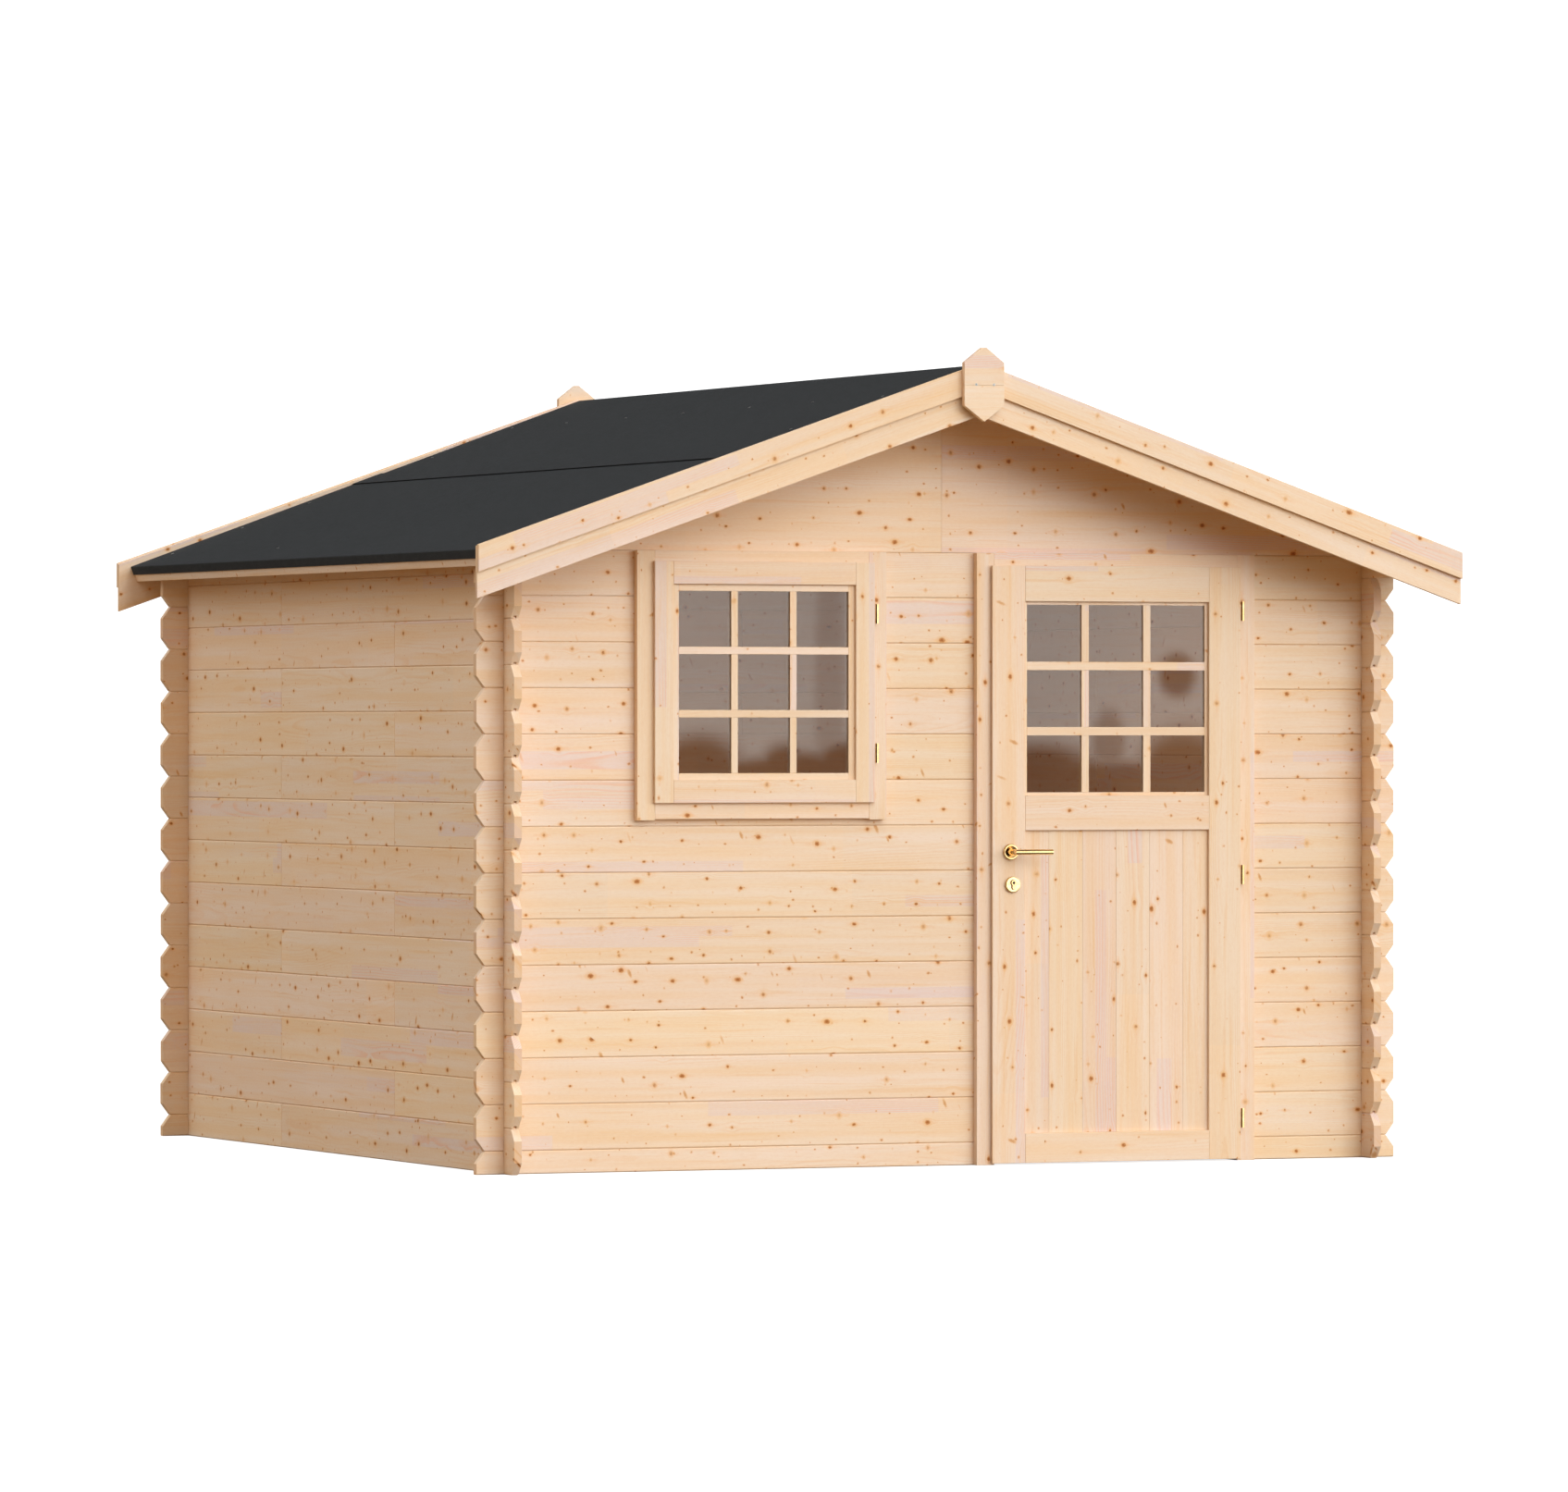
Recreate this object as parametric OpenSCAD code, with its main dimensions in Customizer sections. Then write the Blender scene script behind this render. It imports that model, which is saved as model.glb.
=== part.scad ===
// Wooden garden shed of interlocking logs with a pitched roof, a three by
// three pane window and a half glazed door with a lever handle.
// Millimetres, Z up. Construction frame: x = 0 is the outer face of the left
// wall, y = 0 the outer face of the front wall, z = 0 the ground. Every piece
// is then moved so that the origin is the middle of the footprint.

/* [Walls] */
// Width over the outer faces of the two side walls
wall_w = 2810; // [2760:5:2860]
// Depth over the outer faces of the front and back walls
wall_d = 2820; // [2500:10:3200]
// Height that one log adds to a wall
log_h = 135; // [134:0.5:136]
// Thickness of a log
log_t = 24; // [22:0.5:26]
// Length of a log end past the crossing wall
log_end = 85; // [70:1:100]
// Height of the chamfer on a log end
end_chamfer_h = 36; // [20:1:45]
// Length of the chamfer on a log end
end_chamfer_l = 27; // [15:1:35]
// Depth of the small bevel along each seam between two logs
seam_bevel = 3; // [1:0.5:4]

/* [Roof] */
// Pitch of the roof in degrees
roof_pitch = 19.7; // [19.3:0.1:20]
// Height of the felt at the ridge
ridge_h = 2372.3; // [2368:0.1:2380]
// Reach of the roof past the side walls
eave_out = 142.3; // [120:0.1:150]
// Reach of the roof boards past the front wall
roof_front = 245; // [180:1:260]
// Reach of the roof boards past the back wall
roof_back = 125; // [100:1:180]
// Thickness of the roof boards
deck_t = 19; // [16:1:20]
// Thickness of the roofing felt
felt_t = 3; // [2:0.5:4]

/* [Bargeboards] */
// Thickness of one bargeboard
barge_t = 13; // [10:1:22]
// Thickness of the finial boards
finial_t = 19; // [12:1:22]
// Reach of the bargeboards past the side walls
barge_out = 181.5; // [175:0.5:190]
// Upright height of the outer, narrow bargeboard
barge_outer_h = 79; // [70:1:90]
// Upright height of the inner, wide bargeboard
barge_inner_h = 155.5; // [140:0.5:160]

/* [Door] */
// Left edge of the doorway, from the left wall
door_x = 1556; // [1540:1:1570]
// Width of the doorway between the jambs
door_w = 800; // [780:1:810]
// Height of the doorway
door_h = 1775; // [1760:1:1780]
// Height of the lever handle
handle_z = 932; // [880:1:980]

/* [Window] */
// Left edge of the window opening, from the left wall
window_x = 466; // [440:1:500]
// Width of the window opening between its jambs
window_w = 684; // [640:1:700]
// Height of the bottom of the window opening
window_z = 1087; // [1080:1:1100]

/* [Hidden] */
$fn = 48;

wood = "#EFD2AF";
trim = "#F2D7B8";
brown = "#C79A6C";
black = "#3D3D3E";
brass = "#E2B64C";

rows = 13;                       // full logs in each wall
seam = 0.15;                     // half of the gap between two logs
tongue_w = 8; tongue_h = 7;
groove_w = 9; groove_h = 8;
notch = 0.5;                     // side clearance of a corner notch
front_top = (rows + 0.5) * log_h; // top of the front and back walls
side_top = rows * log_h;         // top of the side logs under the plate
trim_t = 24;                     // thickness of casings
xr = wall_w / 2;                 // ridge line
y0 = -roof_front;                // front edge of the roof boards
y1 = wall_d + roof_back;         // back edge of the roof boards
y_mid = (y0 + y1) / 2;
ps = sin(roof_pitch);
pc = cos(roof_pitch);
pt = tan(roof_pitch);
eave_s = (xr + eave_out) / pc;   // length of the slope
under_z = ridge_h - (deck_t + felt_t) / pc; // underside of boards at ridge
barge_slope = 0.3447;
joint_a = wall_d - 904;          // butt joints of the long walls
joint_b = 909;

module place() { translate([-wall_w / 2, -y_mid, 0]) children(); }
module other_side() { translate([wall_w, 0, 0]) mirror([1, 0, 0]) children(); }
module along_y(ya, yb) {
    translate([0, yb, 0]) rotate([90, 0, 0]) linear_extrude(yb - ya) children();
}
module along_x(xa, xb) {
    translate([xa, 0, 0]) rotate([90, 0, 90]) linear_extrude(xb - xa) children();
}
module box(a, b) { translate(a) cube(b - a); }

// ---- logs -----------------------------------------------------------------

// Cross-section of a log, thickness across and height up
function log_section(h, tongue, groove, sb) = let (m = log_t / 2) concat(
    [[seam_bevel, sb]],
    groove ? [[m - groove_w / 2, sb], [m - groove_w / 2, groove_h],
        [m + groove_w / 2, groove_h], [m + groove_w / 2, sb]] : [],
    [[log_t - seam_bevel, sb], [log_t, sb + seam_bevel],
        [log_t, h - seam - seam_bevel], [log_t - seam_bevel, h - seam]],
    tongue ? [[m + tongue_w / 2, h - seam], [m + tongue_w / 2, h + tongue_h],
        [m - tongue_w / 2, h + tongue_h], [m - tongue_w / 2, h - seam]] : [],
    [[seam_bevel, h - seam], [0, h - seam - seam_bevel], [0, sb + seam_bevel]]);

// Outline of one end of a log from bottom to top, s is 1 or -1
function end_line(u, h, s, chamfer, lower) = let (
    l = end_chamfer_l * s, c = end_chamfer_h) chamfer
    ? concat(lower ? [[u - l, 0], [u, c]] : [[u, 0]],
        [[u, h - c], [u - l * (1 + (tongue_h + 1) / c), h + tongue_h + 1]])
    : [[u, 0], [u, h + tongue_h + 1]];
function flip(a) = [for (i = [len(a) - 1:-1:0]) a[i]];

// A log along X. e0 and e1 say which ends are chamfered; cuts are
// [from, to, bottom, top] notches.
module log(u0, u1, z, h = log_h, e0 = false, e1 = false, lower = true,
        tongue = true, groove = true, first = false, cuts = []) {
    translate([0, 0, z]) intersection() {
        along_x(u0 - 1, u1 + 1)
            polygon(log_section(h, tongue, groove, first ? 0 : seam));
        translate([0, log_t + 1, 0]) rotate([90, 0, 0])
            linear_extrude(log_t + 2) difference() {
                polygon(concat(end_line(u1, h, 1, e1, lower),
                    flip(end_line(u0, h, -1, e0, lower))));
                for (c = cuts) translate([c[0], c[2]])
                    square([c[1] - c[0], c[3] - c[2]]);
            }
    }
}

// Corner notches, a quarter of the log from above and below
function corner(u, h, below = true, above = true) = concat(
    below ? [[u - notch, u + log_t + notch, -1, log_h / 4 + seam]] : [],
    above ? [[u - notch, u + log_t + notch, h - log_h / 4 - seam, h + 20]] : []);
// Log ends are never quite in line
function wander(i, k) = 0.4 * sin(137 * i + 71 * k);

module left_line() { translate([log_t, 0, 0]) rotate([0, 0, 90]) children(); }
module right_line() { translate([wall_w, 0, 0]) rotate([0, 0, 90]) children(); }
module back_line() { translate([0, wall_d - log_t, 0]) children(); }

module side_logs(k) {
    for (i = [0:rows - 1]) {
        j = i % 2 == 0 ? joint_a : joint_b;
        log(-log_end + wander(i, k), j - 0.2, i * log_h, e0 = true,
            first = i == 0, groove = i > 0, cuts = corner(0, log_h));
        log(j + 0.2, wall_d + log_end + wander(i, k + 1), i * log_h,
            e1 = true, first = i == 0, groove = i > 0,
            cuts = corner(wall_d - log_t, log_h));
    }
}
module left_wall() place() color(wood) left_line() side_logs(1);
module right_wall() place() color(wood) right_line() side_logs(4);

// Height of the bottom of full log i of the front and back walls
function row_z(i) = (i - 0.5) * log_h;
function left_end(i) = -log_end + wander(i, 7);
function right_end(i) = wall_w + log_end + wander(i, 9);
left_cut = corner(0, log_h);
right_cut = corner(wall_w - log_t, log_h);
half_left = corner(0, log_h / 2, below = false);
half_right = corner(wall_w - log_t, log_h / 2, below = false);

module back_wall() place() color(wood) back_line() {
    log(left_end(0), joint_a - 0.2, 0, h = log_h / 2, e0 = true,
        lower = false, groove = false, first = true, cuts = half_left);
    log(joint_a + 0.2, right_end(0), 0, h = log_h / 2, e1 = true,
        lower = false, groove = false, first = true, cuts = half_right);
    for (i = [1:rows]) {
        j = i % 2 == 0 ? joint_a : joint_b;
        log(left_end(i), j - 0.2, row_z(i), e0 = true, tongue = i < rows,
            cuts = left_cut);
        log(j + 0.2, right_end(i), row_z(i), e1 = true, tongue = i < rows,
            cuts = right_cut);
    }
}

// Opening sizes in the logs; jamb channels wrap the cut ends
jamb = 26;
under_rows = 7;
door_l = door_x - jamb - 0.3;
door_r = door_x + door_w + jamb + 0.3;
win_l = window_x - jamb;
win_r = window_x + window_w + jamb;
sill_z = window_z - 37;

module front_wall_under_window() place() color(wood) {
    log(left_end(0), door_l, 0, h = log_h / 2, e0 = true, lower = false,
        groove = false, first = true, cuts = half_left);
    for (i = [1:under_rows])
        log(left_end(i), door_l, row_z(i), e0 = true, cuts = left_cut);
}
module front_window_sill_log() place() color(wood)
    log(left_end(8), door_l, row_z(8), e0 = true,
        cuts = concat(left_cut, [[win_l, win_r, sill_z - row_z(8), 200]]));
module front_wall_left_of_window() place() color(wood)
    for (i = [9:rows]) log(left_end(i), win_l, row_z(i), e0 = true,
        tongue = i < rows, cuts = left_cut);
module front_wall_between_window_and_door() place() color(wood)
    for (i = [9:rows]) log(win_r, door_l, row_z(i), tongue = i < rows);
module front_wall_right_of_door() place() color(wood) {
    log(door_r, right_end(0), 0, h = log_h / 2, e1 = true, lower = false,
        groove = false, first = true, cuts = half_right);
    for (i = [1:rows]) log(door_r, right_end(i), row_z(i), e1 = true,
        tongue = i < rows, cuts = right_cut);
}

// Height of the underside of the roof boards at x
function under(x) = under_z - pt * abs(x - xr);

// Bevelled top log of a side wall, which carries the eaves
module plate() {
    m = log_t / 2;
    difference() {
        along_y(y0, y1) polygon([[seam_bevel, side_top + seam],
            [m - groove_w / 2, side_top + seam],
            [m - groove_w / 2, side_top + groove_h],
            [m + groove_w / 2, side_top + groove_h],
            [m + groove_w / 2, side_top + seam],
            [log_t - seam_bevel, side_top + seam],
            [log_t, side_top + seam_bevel], [log_t, under(log_t) - 0.3],
            [0, under(0) - 0.3], [0, side_top + seam_bevel]]);
        for (y = [0, wall_d - log_t])
            box([-1, y - notch, side_top - 1],
                [log_t + 1, y + log_t + notch, side_top + log_h / 4 + seam]);
    }
}
module left_wall_plate() place() color(wood) plate();
module right_wall_plate() place() color(wood) other_side() plate();

// ---- gables and purlins ---------------------------------------------------

purlin_w = 44;
side_purlin_x = 700;
side_purlin_z = 2040;
ridge_purlin_z = 2238;
gable_joint = 10;   // the joint of the front gable is left of the ridge
// Half of a gable, up to a butt joint that is dx past the ridge line
module gable_half(dx = 0) {
    e = xr + dx - 0.2;
    difference() {
        polygon(concat(
            [[log_t + 0.3, front_top + 0.3], [e, front_top + 0.3],
                [e, under(e) - 0.3]],
            dx > 0 ? [[xr, under(xr) - 0.3]] : [],
            [[log_t + 0.3, under(log_t + 0.3) - 0.3]]));
        translate([side_purlin_x - purlin_w / 2 - 0.5, side_purlin_z - 0.5])
            square([purlin_w + 1, 400]);
        translate([xr - purlin_w / 2 - 0.5, ridge_purlin_z - 0.5])
            square([purlin_w + 1, 400]);
    }
}
module front_gable_left() place() color(wood)
    along_y(0, log_t) gable_half(-gable_joint);
module front_gable_right() place() color(wood) other_side()
    along_y(0, log_t) gable_half(gable_joint);
module back_gable_left() place() color(wood)
    along_y(wall_d - log_t, wall_d) gable_half();
module back_gable_right() place() color(wood) other_side()
    along_y(wall_d - log_t, wall_d) gable_half();

module ridge_purlin() place() color(trim) along_y(y0, y1)
    polygon([[xr - purlin_w / 2, ridge_purlin_z],
        [xr + purlin_w / 2, ridge_purlin_z],
        [xr + purlin_w / 2, under(xr + purlin_w / 2) - 0.3],
        [xr, under(xr) - 0.3],
        [xr - purlin_w / 2, under(xr - purlin_w / 2) - 0.3]]);
module side_purlin() {
    a = side_purlin_x - purlin_w / 2;
    b = side_purlin_x + purlin_w / 2;
    along_y(y0, y1) polygon([[a, side_purlin_z], [b, side_purlin_z],
        [b, under(b) - 0.3], [a, under(a) - 0.3]]);
}
module left_purlin() place() color(trim) side_purlin();
module right_purlin() place() color(trim) other_side() side_purlin();

// ---- roof -----------------------------------------------------------------

// A point s down the left slope from the ridge and n above the felt
function rp(s, n) = [xr - s * pc - n * ps, ridge_h - s * ps + n * pc];
// The same depth on the upright plane through the ridge
function ridge_pt(n, gap = 0.2) = rp(-n * pt + gap / pc, n);
deck_s = eave_s - felt_t - 0.2;
lap_s = 838;
lap_w = 100;
flap = 28;

module deck() along_y(y0, y1) polygon([ridge_pt(-felt_t - deck_t),
    ridge_pt(-felt_t - 0.1), rp(deck_s, -felt_t - 0.1),
    rp(deck_s, -felt_t - deck_t)]);
module roof_boards_left() place() color(brown) deck();
module roof_boards_right() place() color(brown) other_side() deck();

module eave_batten() along_y(y0, y1) polygon([
    rp(deck_s, -felt_t - deck_t - 0.1), rp(deck_s, -felt_t - deck_t - 30),
    rp(deck_s - 22, -felt_t - deck_t - 30),
    rp(deck_s - 22, -felt_t - deck_t - 0.1)]);
module left_eave_batten() place() color(wood) eave_batten();
module right_eave_batten() place() color(wood) other_side() eave_batten();

// Lower strip of felt, folded down over the edge of the boards
module felt_lower() along_y(y0, y1) polygon([
    rp(lap_s - lap_w, -felt_t), rp(lap_s - lap_w, 0), rp(eave_s - 2, 0),
    rp(eave_s, -2), rp(eave_s, -flap), rp(eave_s - felt_t, -flap),
    rp(eave_s - felt_t, -felt_t)]);
module felt_left_lower() place() color(black) felt_lower();
module felt_right_lower() place() color(black) other_side() felt_lower();
// Upper strip of the right slope, under the fold of the ridge strip
module felt_right_upper() place() color(black) other_side()
    along_y(y0, y1) polygon([rp(80, -felt_t), rp(80, 0),
        rp(lap_s - lap_w - 12, 0), rp(lap_s - lap_w - 2, felt_t - 0.3),
        rp(lap_s, felt_t - 0.3), rp(lap_s, 0.1),
        rp(lap_s - lap_w - 0.3, 0.1), rp(lap_s - lap_w - 0.3, -felt_t)]);
// Ridge strip: all of the upper left slope and a fold over the ridge
function to_right(p) = [wall_w - p[0], p[1]];
module felt_ridge() place() color(black) along_y(y0, y1) polygon([
    rp(lap_s - lap_w - 0.3, -felt_t), rp(lap_s - lap_w - 0.3, 0.1),
    rp(lap_s, 0.1), rp(lap_s, felt_t - 0.3),
    rp(lap_s - lap_w - 2, felt_t - 0.3), rp(lap_s - lap_w - 12, 0),
    rp(9, 0), rp(3, 0.2), to_right(rp(3, 0.2)), to_right(rp(9, 0)),
    to_right(rp(68, 0)), to_right(rp(78, felt_t - 0.3)),
    to_right(rp(180, felt_t - 0.3)), to_right(rp(180, 0.1)),
    to_right(rp(79.7, 0.1)), to_right(rp(79.7, -felt_t)),
    [xr, ridge_h - felt_t / pc]]);

// ---- bargeboards and finials ----------------------------------------------

barge_apex = 2376.6;
module barge_half(out, top, h) {
    e = top - barge_slope * (xr + out);
    polygon([[-out, e - h], [xr - 0.15, top - h], [xr - 0.15, top], [-out, e]]);
}
module barge_pair(out, top, h) {
    barge_half(out, top, h);
    other_half() barge_half(out, top, h);
}
module other_half() { translate([wall_w, 0]) mirror([1, 0]) children(); }
module front_outer_bargeboards() place() color(trim)
    along_y(y0 - 2 * barge_t, y0 - barge_t)
        barge_pair(barge_out, barge_apex, barge_outer_h);
module front_inner_bargeboards() place() color(trim)
    along_y(y0 - barge_t, y0)
        barge_pair(barge_out, barge_apex - 4, barge_inner_h - 4);
module back_inner_bargeboards() place() color(trim)
    along_y(y1, y1 + barge_t)
        barge_pair(barge_out, barge_apex - 4, barge_inner_h - 4);
module back_outer_bargeboards() place() color(trim)
    along_y(y1 + barge_t, y1 + 2 * barge_t)
        barge_pair(barge_out, barge_apex, barge_outer_h);

module finial_shape() polygon([[xr, 2203], [xr + 64, 2250], [xr + 64, 2377],
    [xr + 7, 2421], [xr - 7, 2421], [xr - 64, 2377], [xr - 64, 2250]]);
module front_finial() place() color(trim)
    along_y(y0 - 2 * barge_t - finial_t, y0 - 2 * barge_t) finial_shape();
module back_finial() place() color(trim)
    along_y(y1 + 2 * barge_t, y1 + 2 * barge_t + finial_t) finial_shape();

// ---- jamb channels --------------------------------------------------------

back_y = 2 * trim_t;   // inner face of the inner flanges
cf = 0.2;              // clearance around the logs
frame_top = front_top - 0.3;

// Left jamb of an opening whose edge is at x: the outer casing reaches down
// to z0 and the web that covers the log ends starts at zw
module jamb_channel(x, w, z0, zw) {
    box([x - w, -trim_t, z0], [x, -cf, frame_top]);
    box([x - w, log_t + cf, z0], [x, back_y, frame_top]);
    box([x - jamb, -1, zw], [x, log_t + 1, frame_top]);
}
module at_right(x0, w) { translate([2 * x0 + w, 0, 0]) mirror([1, 0, 0]) children(); }

// ---- window ---------------------------------------------------------------

wz0 = window_z - 53;   // lower edge of the bottom casing
wr = window_x + window_w;
head_z = 1785;
module window_frame() place() color(trim) {
    jamb_channel(window_x, 56, wz0 - 4, sill_z + cf);
    at_right(window_x, window_w) jamb_channel(window_x, 56, wz0 - 4, sill_z + cf);
    box([window_x + cf, -trim_t, head_z], [wr - cf, back_y, frame_top]);
    union() {
        box([window_x + cf, -trim_t, wz0], [wr - cf, -cf, window_z]);
        box([window_x + cf, -1, sill_z + cf], [wr - cf, log_t + 1, window_z]);
        box([window_x + cf, log_t + cf, wz0], [wr - cf, back_y, window_z]);
    }
}

// Panes: a grid of bars and the beads around it
module grid(xa, xb, za, zb, bead, bar_v, bar_h, ya, yb) {
    pw = (xb - xa - 2 * bead - 2 * bar_v) / 3;
    ph = (zb - za - 2 * bead - 2 * bar_h) / 3;
    difference() {
        box([xa - 1, ya, za - 1], [xb + 1, yb, zb + 1]);
        for (i = [0:2]) for (j = [0:2]) {
            x = xa + bead + i * (pw + bar_v);
            z = za + bead + j * (ph + bar_h);
            box([x, ya - 1, z], [x + pw, yb + 1, z + ph]);
        }
    }
}
sx0 = window_x - 5; sx1 = wr + 13;
sz0 = window_z - 6; sz1 = head_z + 6;
so = [sx0 + 59, sx1 - 61, sz0 + 67, sz1 - 67];
module window_sash() place() color(trim) union() {
    difference() {
        union() {
            box([sx0, -38, sz0], [sx1, -trim_t - cf, sz1]);
            box([window_x + 3, -30, window_z + 3], [wr - 3, -2, head_z - 3]);
        }
        box([so[0], -50, so[2]], [so[1], 5, so[3]]);
    }
    grid(so[0], so[1], so[2], so[3], 20, 21, 22, -28, -22.1);
    grid(so[0], so[1], so[2], so[3], 20, 21, 22, -17.9, -2);
}
module window_glass() place() color("#8F8178")
    box([so[0] + 0.2, -22, so[2] + 0.2], [so[1] - 0.2, -18, so[3] - 0.2]);
module window_hinges() place() color(brass)
    for (z = [1227, 1639]) {
        union() {
            translate([sx1 + 7, -36, z - 29]) cylinder(r = 5.5, h = 58);
            translate([sx1 + 7, -36, z + 15]) rotate([0, -90, 0])
                cylinder(r = 2.5, h = 7);
            translate([sx1 + 7, -36, z - 15]) rotate([-90, 0, 0])
                cylinder(r = 2.5, h = 36 - trim_t);
        }
    }

// ---- door -----------------------------------------------------------------

dr = door_x + door_w;
module door_frame() place() color(trim) {
    jamb_channel(door_x, 57, 0, 0);
    at_right(door_x, door_w) jamb_channel(door_x, 59, 0, 0);
    box([door_x + cf, -trim_t, door_h], [dr - cf, back_y, frame_top]);
}

// Hinges turn about an upright axis in front of the casing
hinge_x = dr + 13;
hinge_y = -36;
hinge_r = 5.5;
hinge_h = 58;
pin_r = 2.5;
hinges = [128, 860, 1653];
module door_hinge_pins() place() color(brass) for (z = hinges) {
    union() {
        translate([hinge_x, hinge_y, z - hinge_h / 2])
            cylinder(r = hinge_r, h = hinge_h / 2 - 0.15);
        translate([hinge_x, hinge_y, z - 5]) cylinder(r = pin_r, h = 27);
        translate([hinge_x, hinge_y, z - 15]) rotate([-90, 0, 0])
            cylinder(r = 2.5, h = -hinge_y - trim_t);
    }
}
module door_hinge_knuckles() place() color(brass) for (z = hinges) {
    difference() {
        union() {
            translate([hinge_x, hinge_y, z + 0.15])
                cylinder(r = hinge_r, h = hinge_h / 2 - 0.15);
            translate([hinge_x, hinge_y, z + 15]) rotate([0, -90, 0])
                cylinder(r = 2.5, h = hinge_x - lip_r);
        }
        translate([hinge_x, hinge_y, z - 1]) cylinder(r = pin_r + 0.05, h = 24);
    }
}

// Leaf with a lip that laps over the casings
lip_l = door_x - 12;
lip_r = dr + 6;
leaf_b = 5;
leaf_t = door_h + 10;
lip_front = -38;
lip_back = -trim_t - 5;
leaf_back = -2;
leaf_x0 = door_x + 6;
leaf_x1 = dr - 6;
in_l = lip_l + 107;
in_r = lip_r - 105;
glass_z0 = 1099;
glass_z1 = 1679;
panel_z0 = 93;
panel_z1 = 996;
handle_x = door_x + 46;
plate_x = door_x + 52;
plate_z = handle_z - 97;
neck_r = 8.3;

module door_leaf() place() color(trim) union() {
    difference() {
        union() {
            box([lip_l, lip_front, leaf_b], [lip_r, lip_back, leaf_t]);
            box([leaf_x0, lip_back - 1, leaf_b + 1],
                [leaf_x1, leaf_back, door_h - 6]);
        }
        box([in_l, -60, glass_z0], [in_r, 20, glass_z1]);
        box([in_l, -60, panel_z0], [in_r, 20, panel_z1]);
        translate([handle_x, 10, handle_z]) rotate([90, 0, 0])
            cylinder(r = 11, h = 70);
    }
    grid(in_l, in_r, glass_z0, glass_z1, 10, 24, 25, -27, -22.1);
    grid(in_l, in_r, glass_z0, glass_z1, 10, 24, 25, -17.9, leaf_back);
}
module door_panel() place() color(wood)
    box([in_l + 0.2, -27, panel_z0 + 0.2], [in_r - 0.2, -12, panel_z1 - 0.2]);
module door_glass() place() color("#8F8178")
    box([in_l + 0.2, -22, glass_z0 + 0.2], [in_r - 0.2, -18, glass_z1 - 0.2]);

rose_r = 24;
rose_t = 8;
module rose(x, z, ya, bore) difference() {
    translate([x, ya + rose_t, z]) rotate([90, 0, 0])
        cylinder(r = rose_r, h = rose_t);
    if (bore > 0) translate([x, ya + rose_t + 1, z]) rotate([90, 0, 0])
        cylinder(r = bore, h = rose_t + 2);
}
// Key plate with the profile cylinder standing out of it, s = -1 outside
module key_plate(x, z, ya, s) union() {
    rose(x, z, ya, 0);
    yf = s < 0 ? ya + 1 : ya + rose_t + 5;
    translate([x, yf, z + 5.5]) rotate([90, 0, 0]) linear_extrude(6) union() {
        circle(r = 8.2);
        translate([-5, -15.5]) square([10, 15.5]);
        translate([0, -15.5]) circle(r = 5);
    }
}
module door_roses() place() color(brass) {
    rose(handle_x, handle_z, lip_front - rose_t, neck_r + 0.06);
    key_plate(plate_x, plate_z, lip_front - rose_t, -1);
    rose(handle_x, handle_z, leaf_back, neck_r + 0.06);
    key_plate(plate_x, plate_z, leaf_back, 1);
}

// Two levers on one spindle through the leaf
reach = 53;
lever_l = 115;
module lever(s) {
    // s = -1 outside, 1 inside
    ya = s < 0 ? lip_front : leaf_back;
    yb = ya + s * reach;
    translate([handle_x, max(ya + s, yb), handle_z]) rotate([90, 0, 0])
        cylinder(r = neck_r, h = reach - 1);
    translate([handle_x, yb, handle_z]) sphere(r = neck_r);
    translate([handle_x, yb, handle_z]) rotate([0, 90, 0])
        cylinder(r = neck_r, h = lever_l - neck_r);
    translate([handle_x + lever_l - neck_r, yb, handle_z]) sphere(r = neck_r);
}
module lever_handles() place() color(brass) union() {
    lever(-1);
    lever(1);
    translate([handle_x, leaf_back + 2, handle_z]) rotate([90, 0, 0])
        cylinder(r = 4.5, h = leaf_back - lip_front + 4);
}

left_wall();
right_wall();
back_wall();
front_wall_under_window();
front_window_sill_log();
front_wall_left_of_window();
front_wall_between_window_and_door();
front_wall_right_of_door();
left_wall_plate();
right_wall_plate();
front_gable_left();
front_gable_right();
back_gable_left();
back_gable_right();
ridge_purlin();
left_purlin();
right_purlin();
roof_boards_left();
roof_boards_right();
left_eave_batten();
right_eave_batten();
felt_left_lower();
felt_right_lower();
felt_right_upper();
felt_ridge();
front_outer_bargeboards();
front_inner_bargeboards();
back_outer_bargeboards();
back_inner_bargeboards();
front_finial();
back_finial();
window_frame();
window_sash();
window_glass();
window_hinges();
door_frame();
door_hinge_pins();
door_leaf();
door_panel();
door_glass();
door_hinge_knuckles();
door_roses();
lever_handles();
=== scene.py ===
"""Looks of the wooden log shed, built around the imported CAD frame.
Lengths in metres, Z up, the door and window in the -Y wall."""
import bpy, bmesh, math, random
from mathutils import Vector, Matrix


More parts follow.
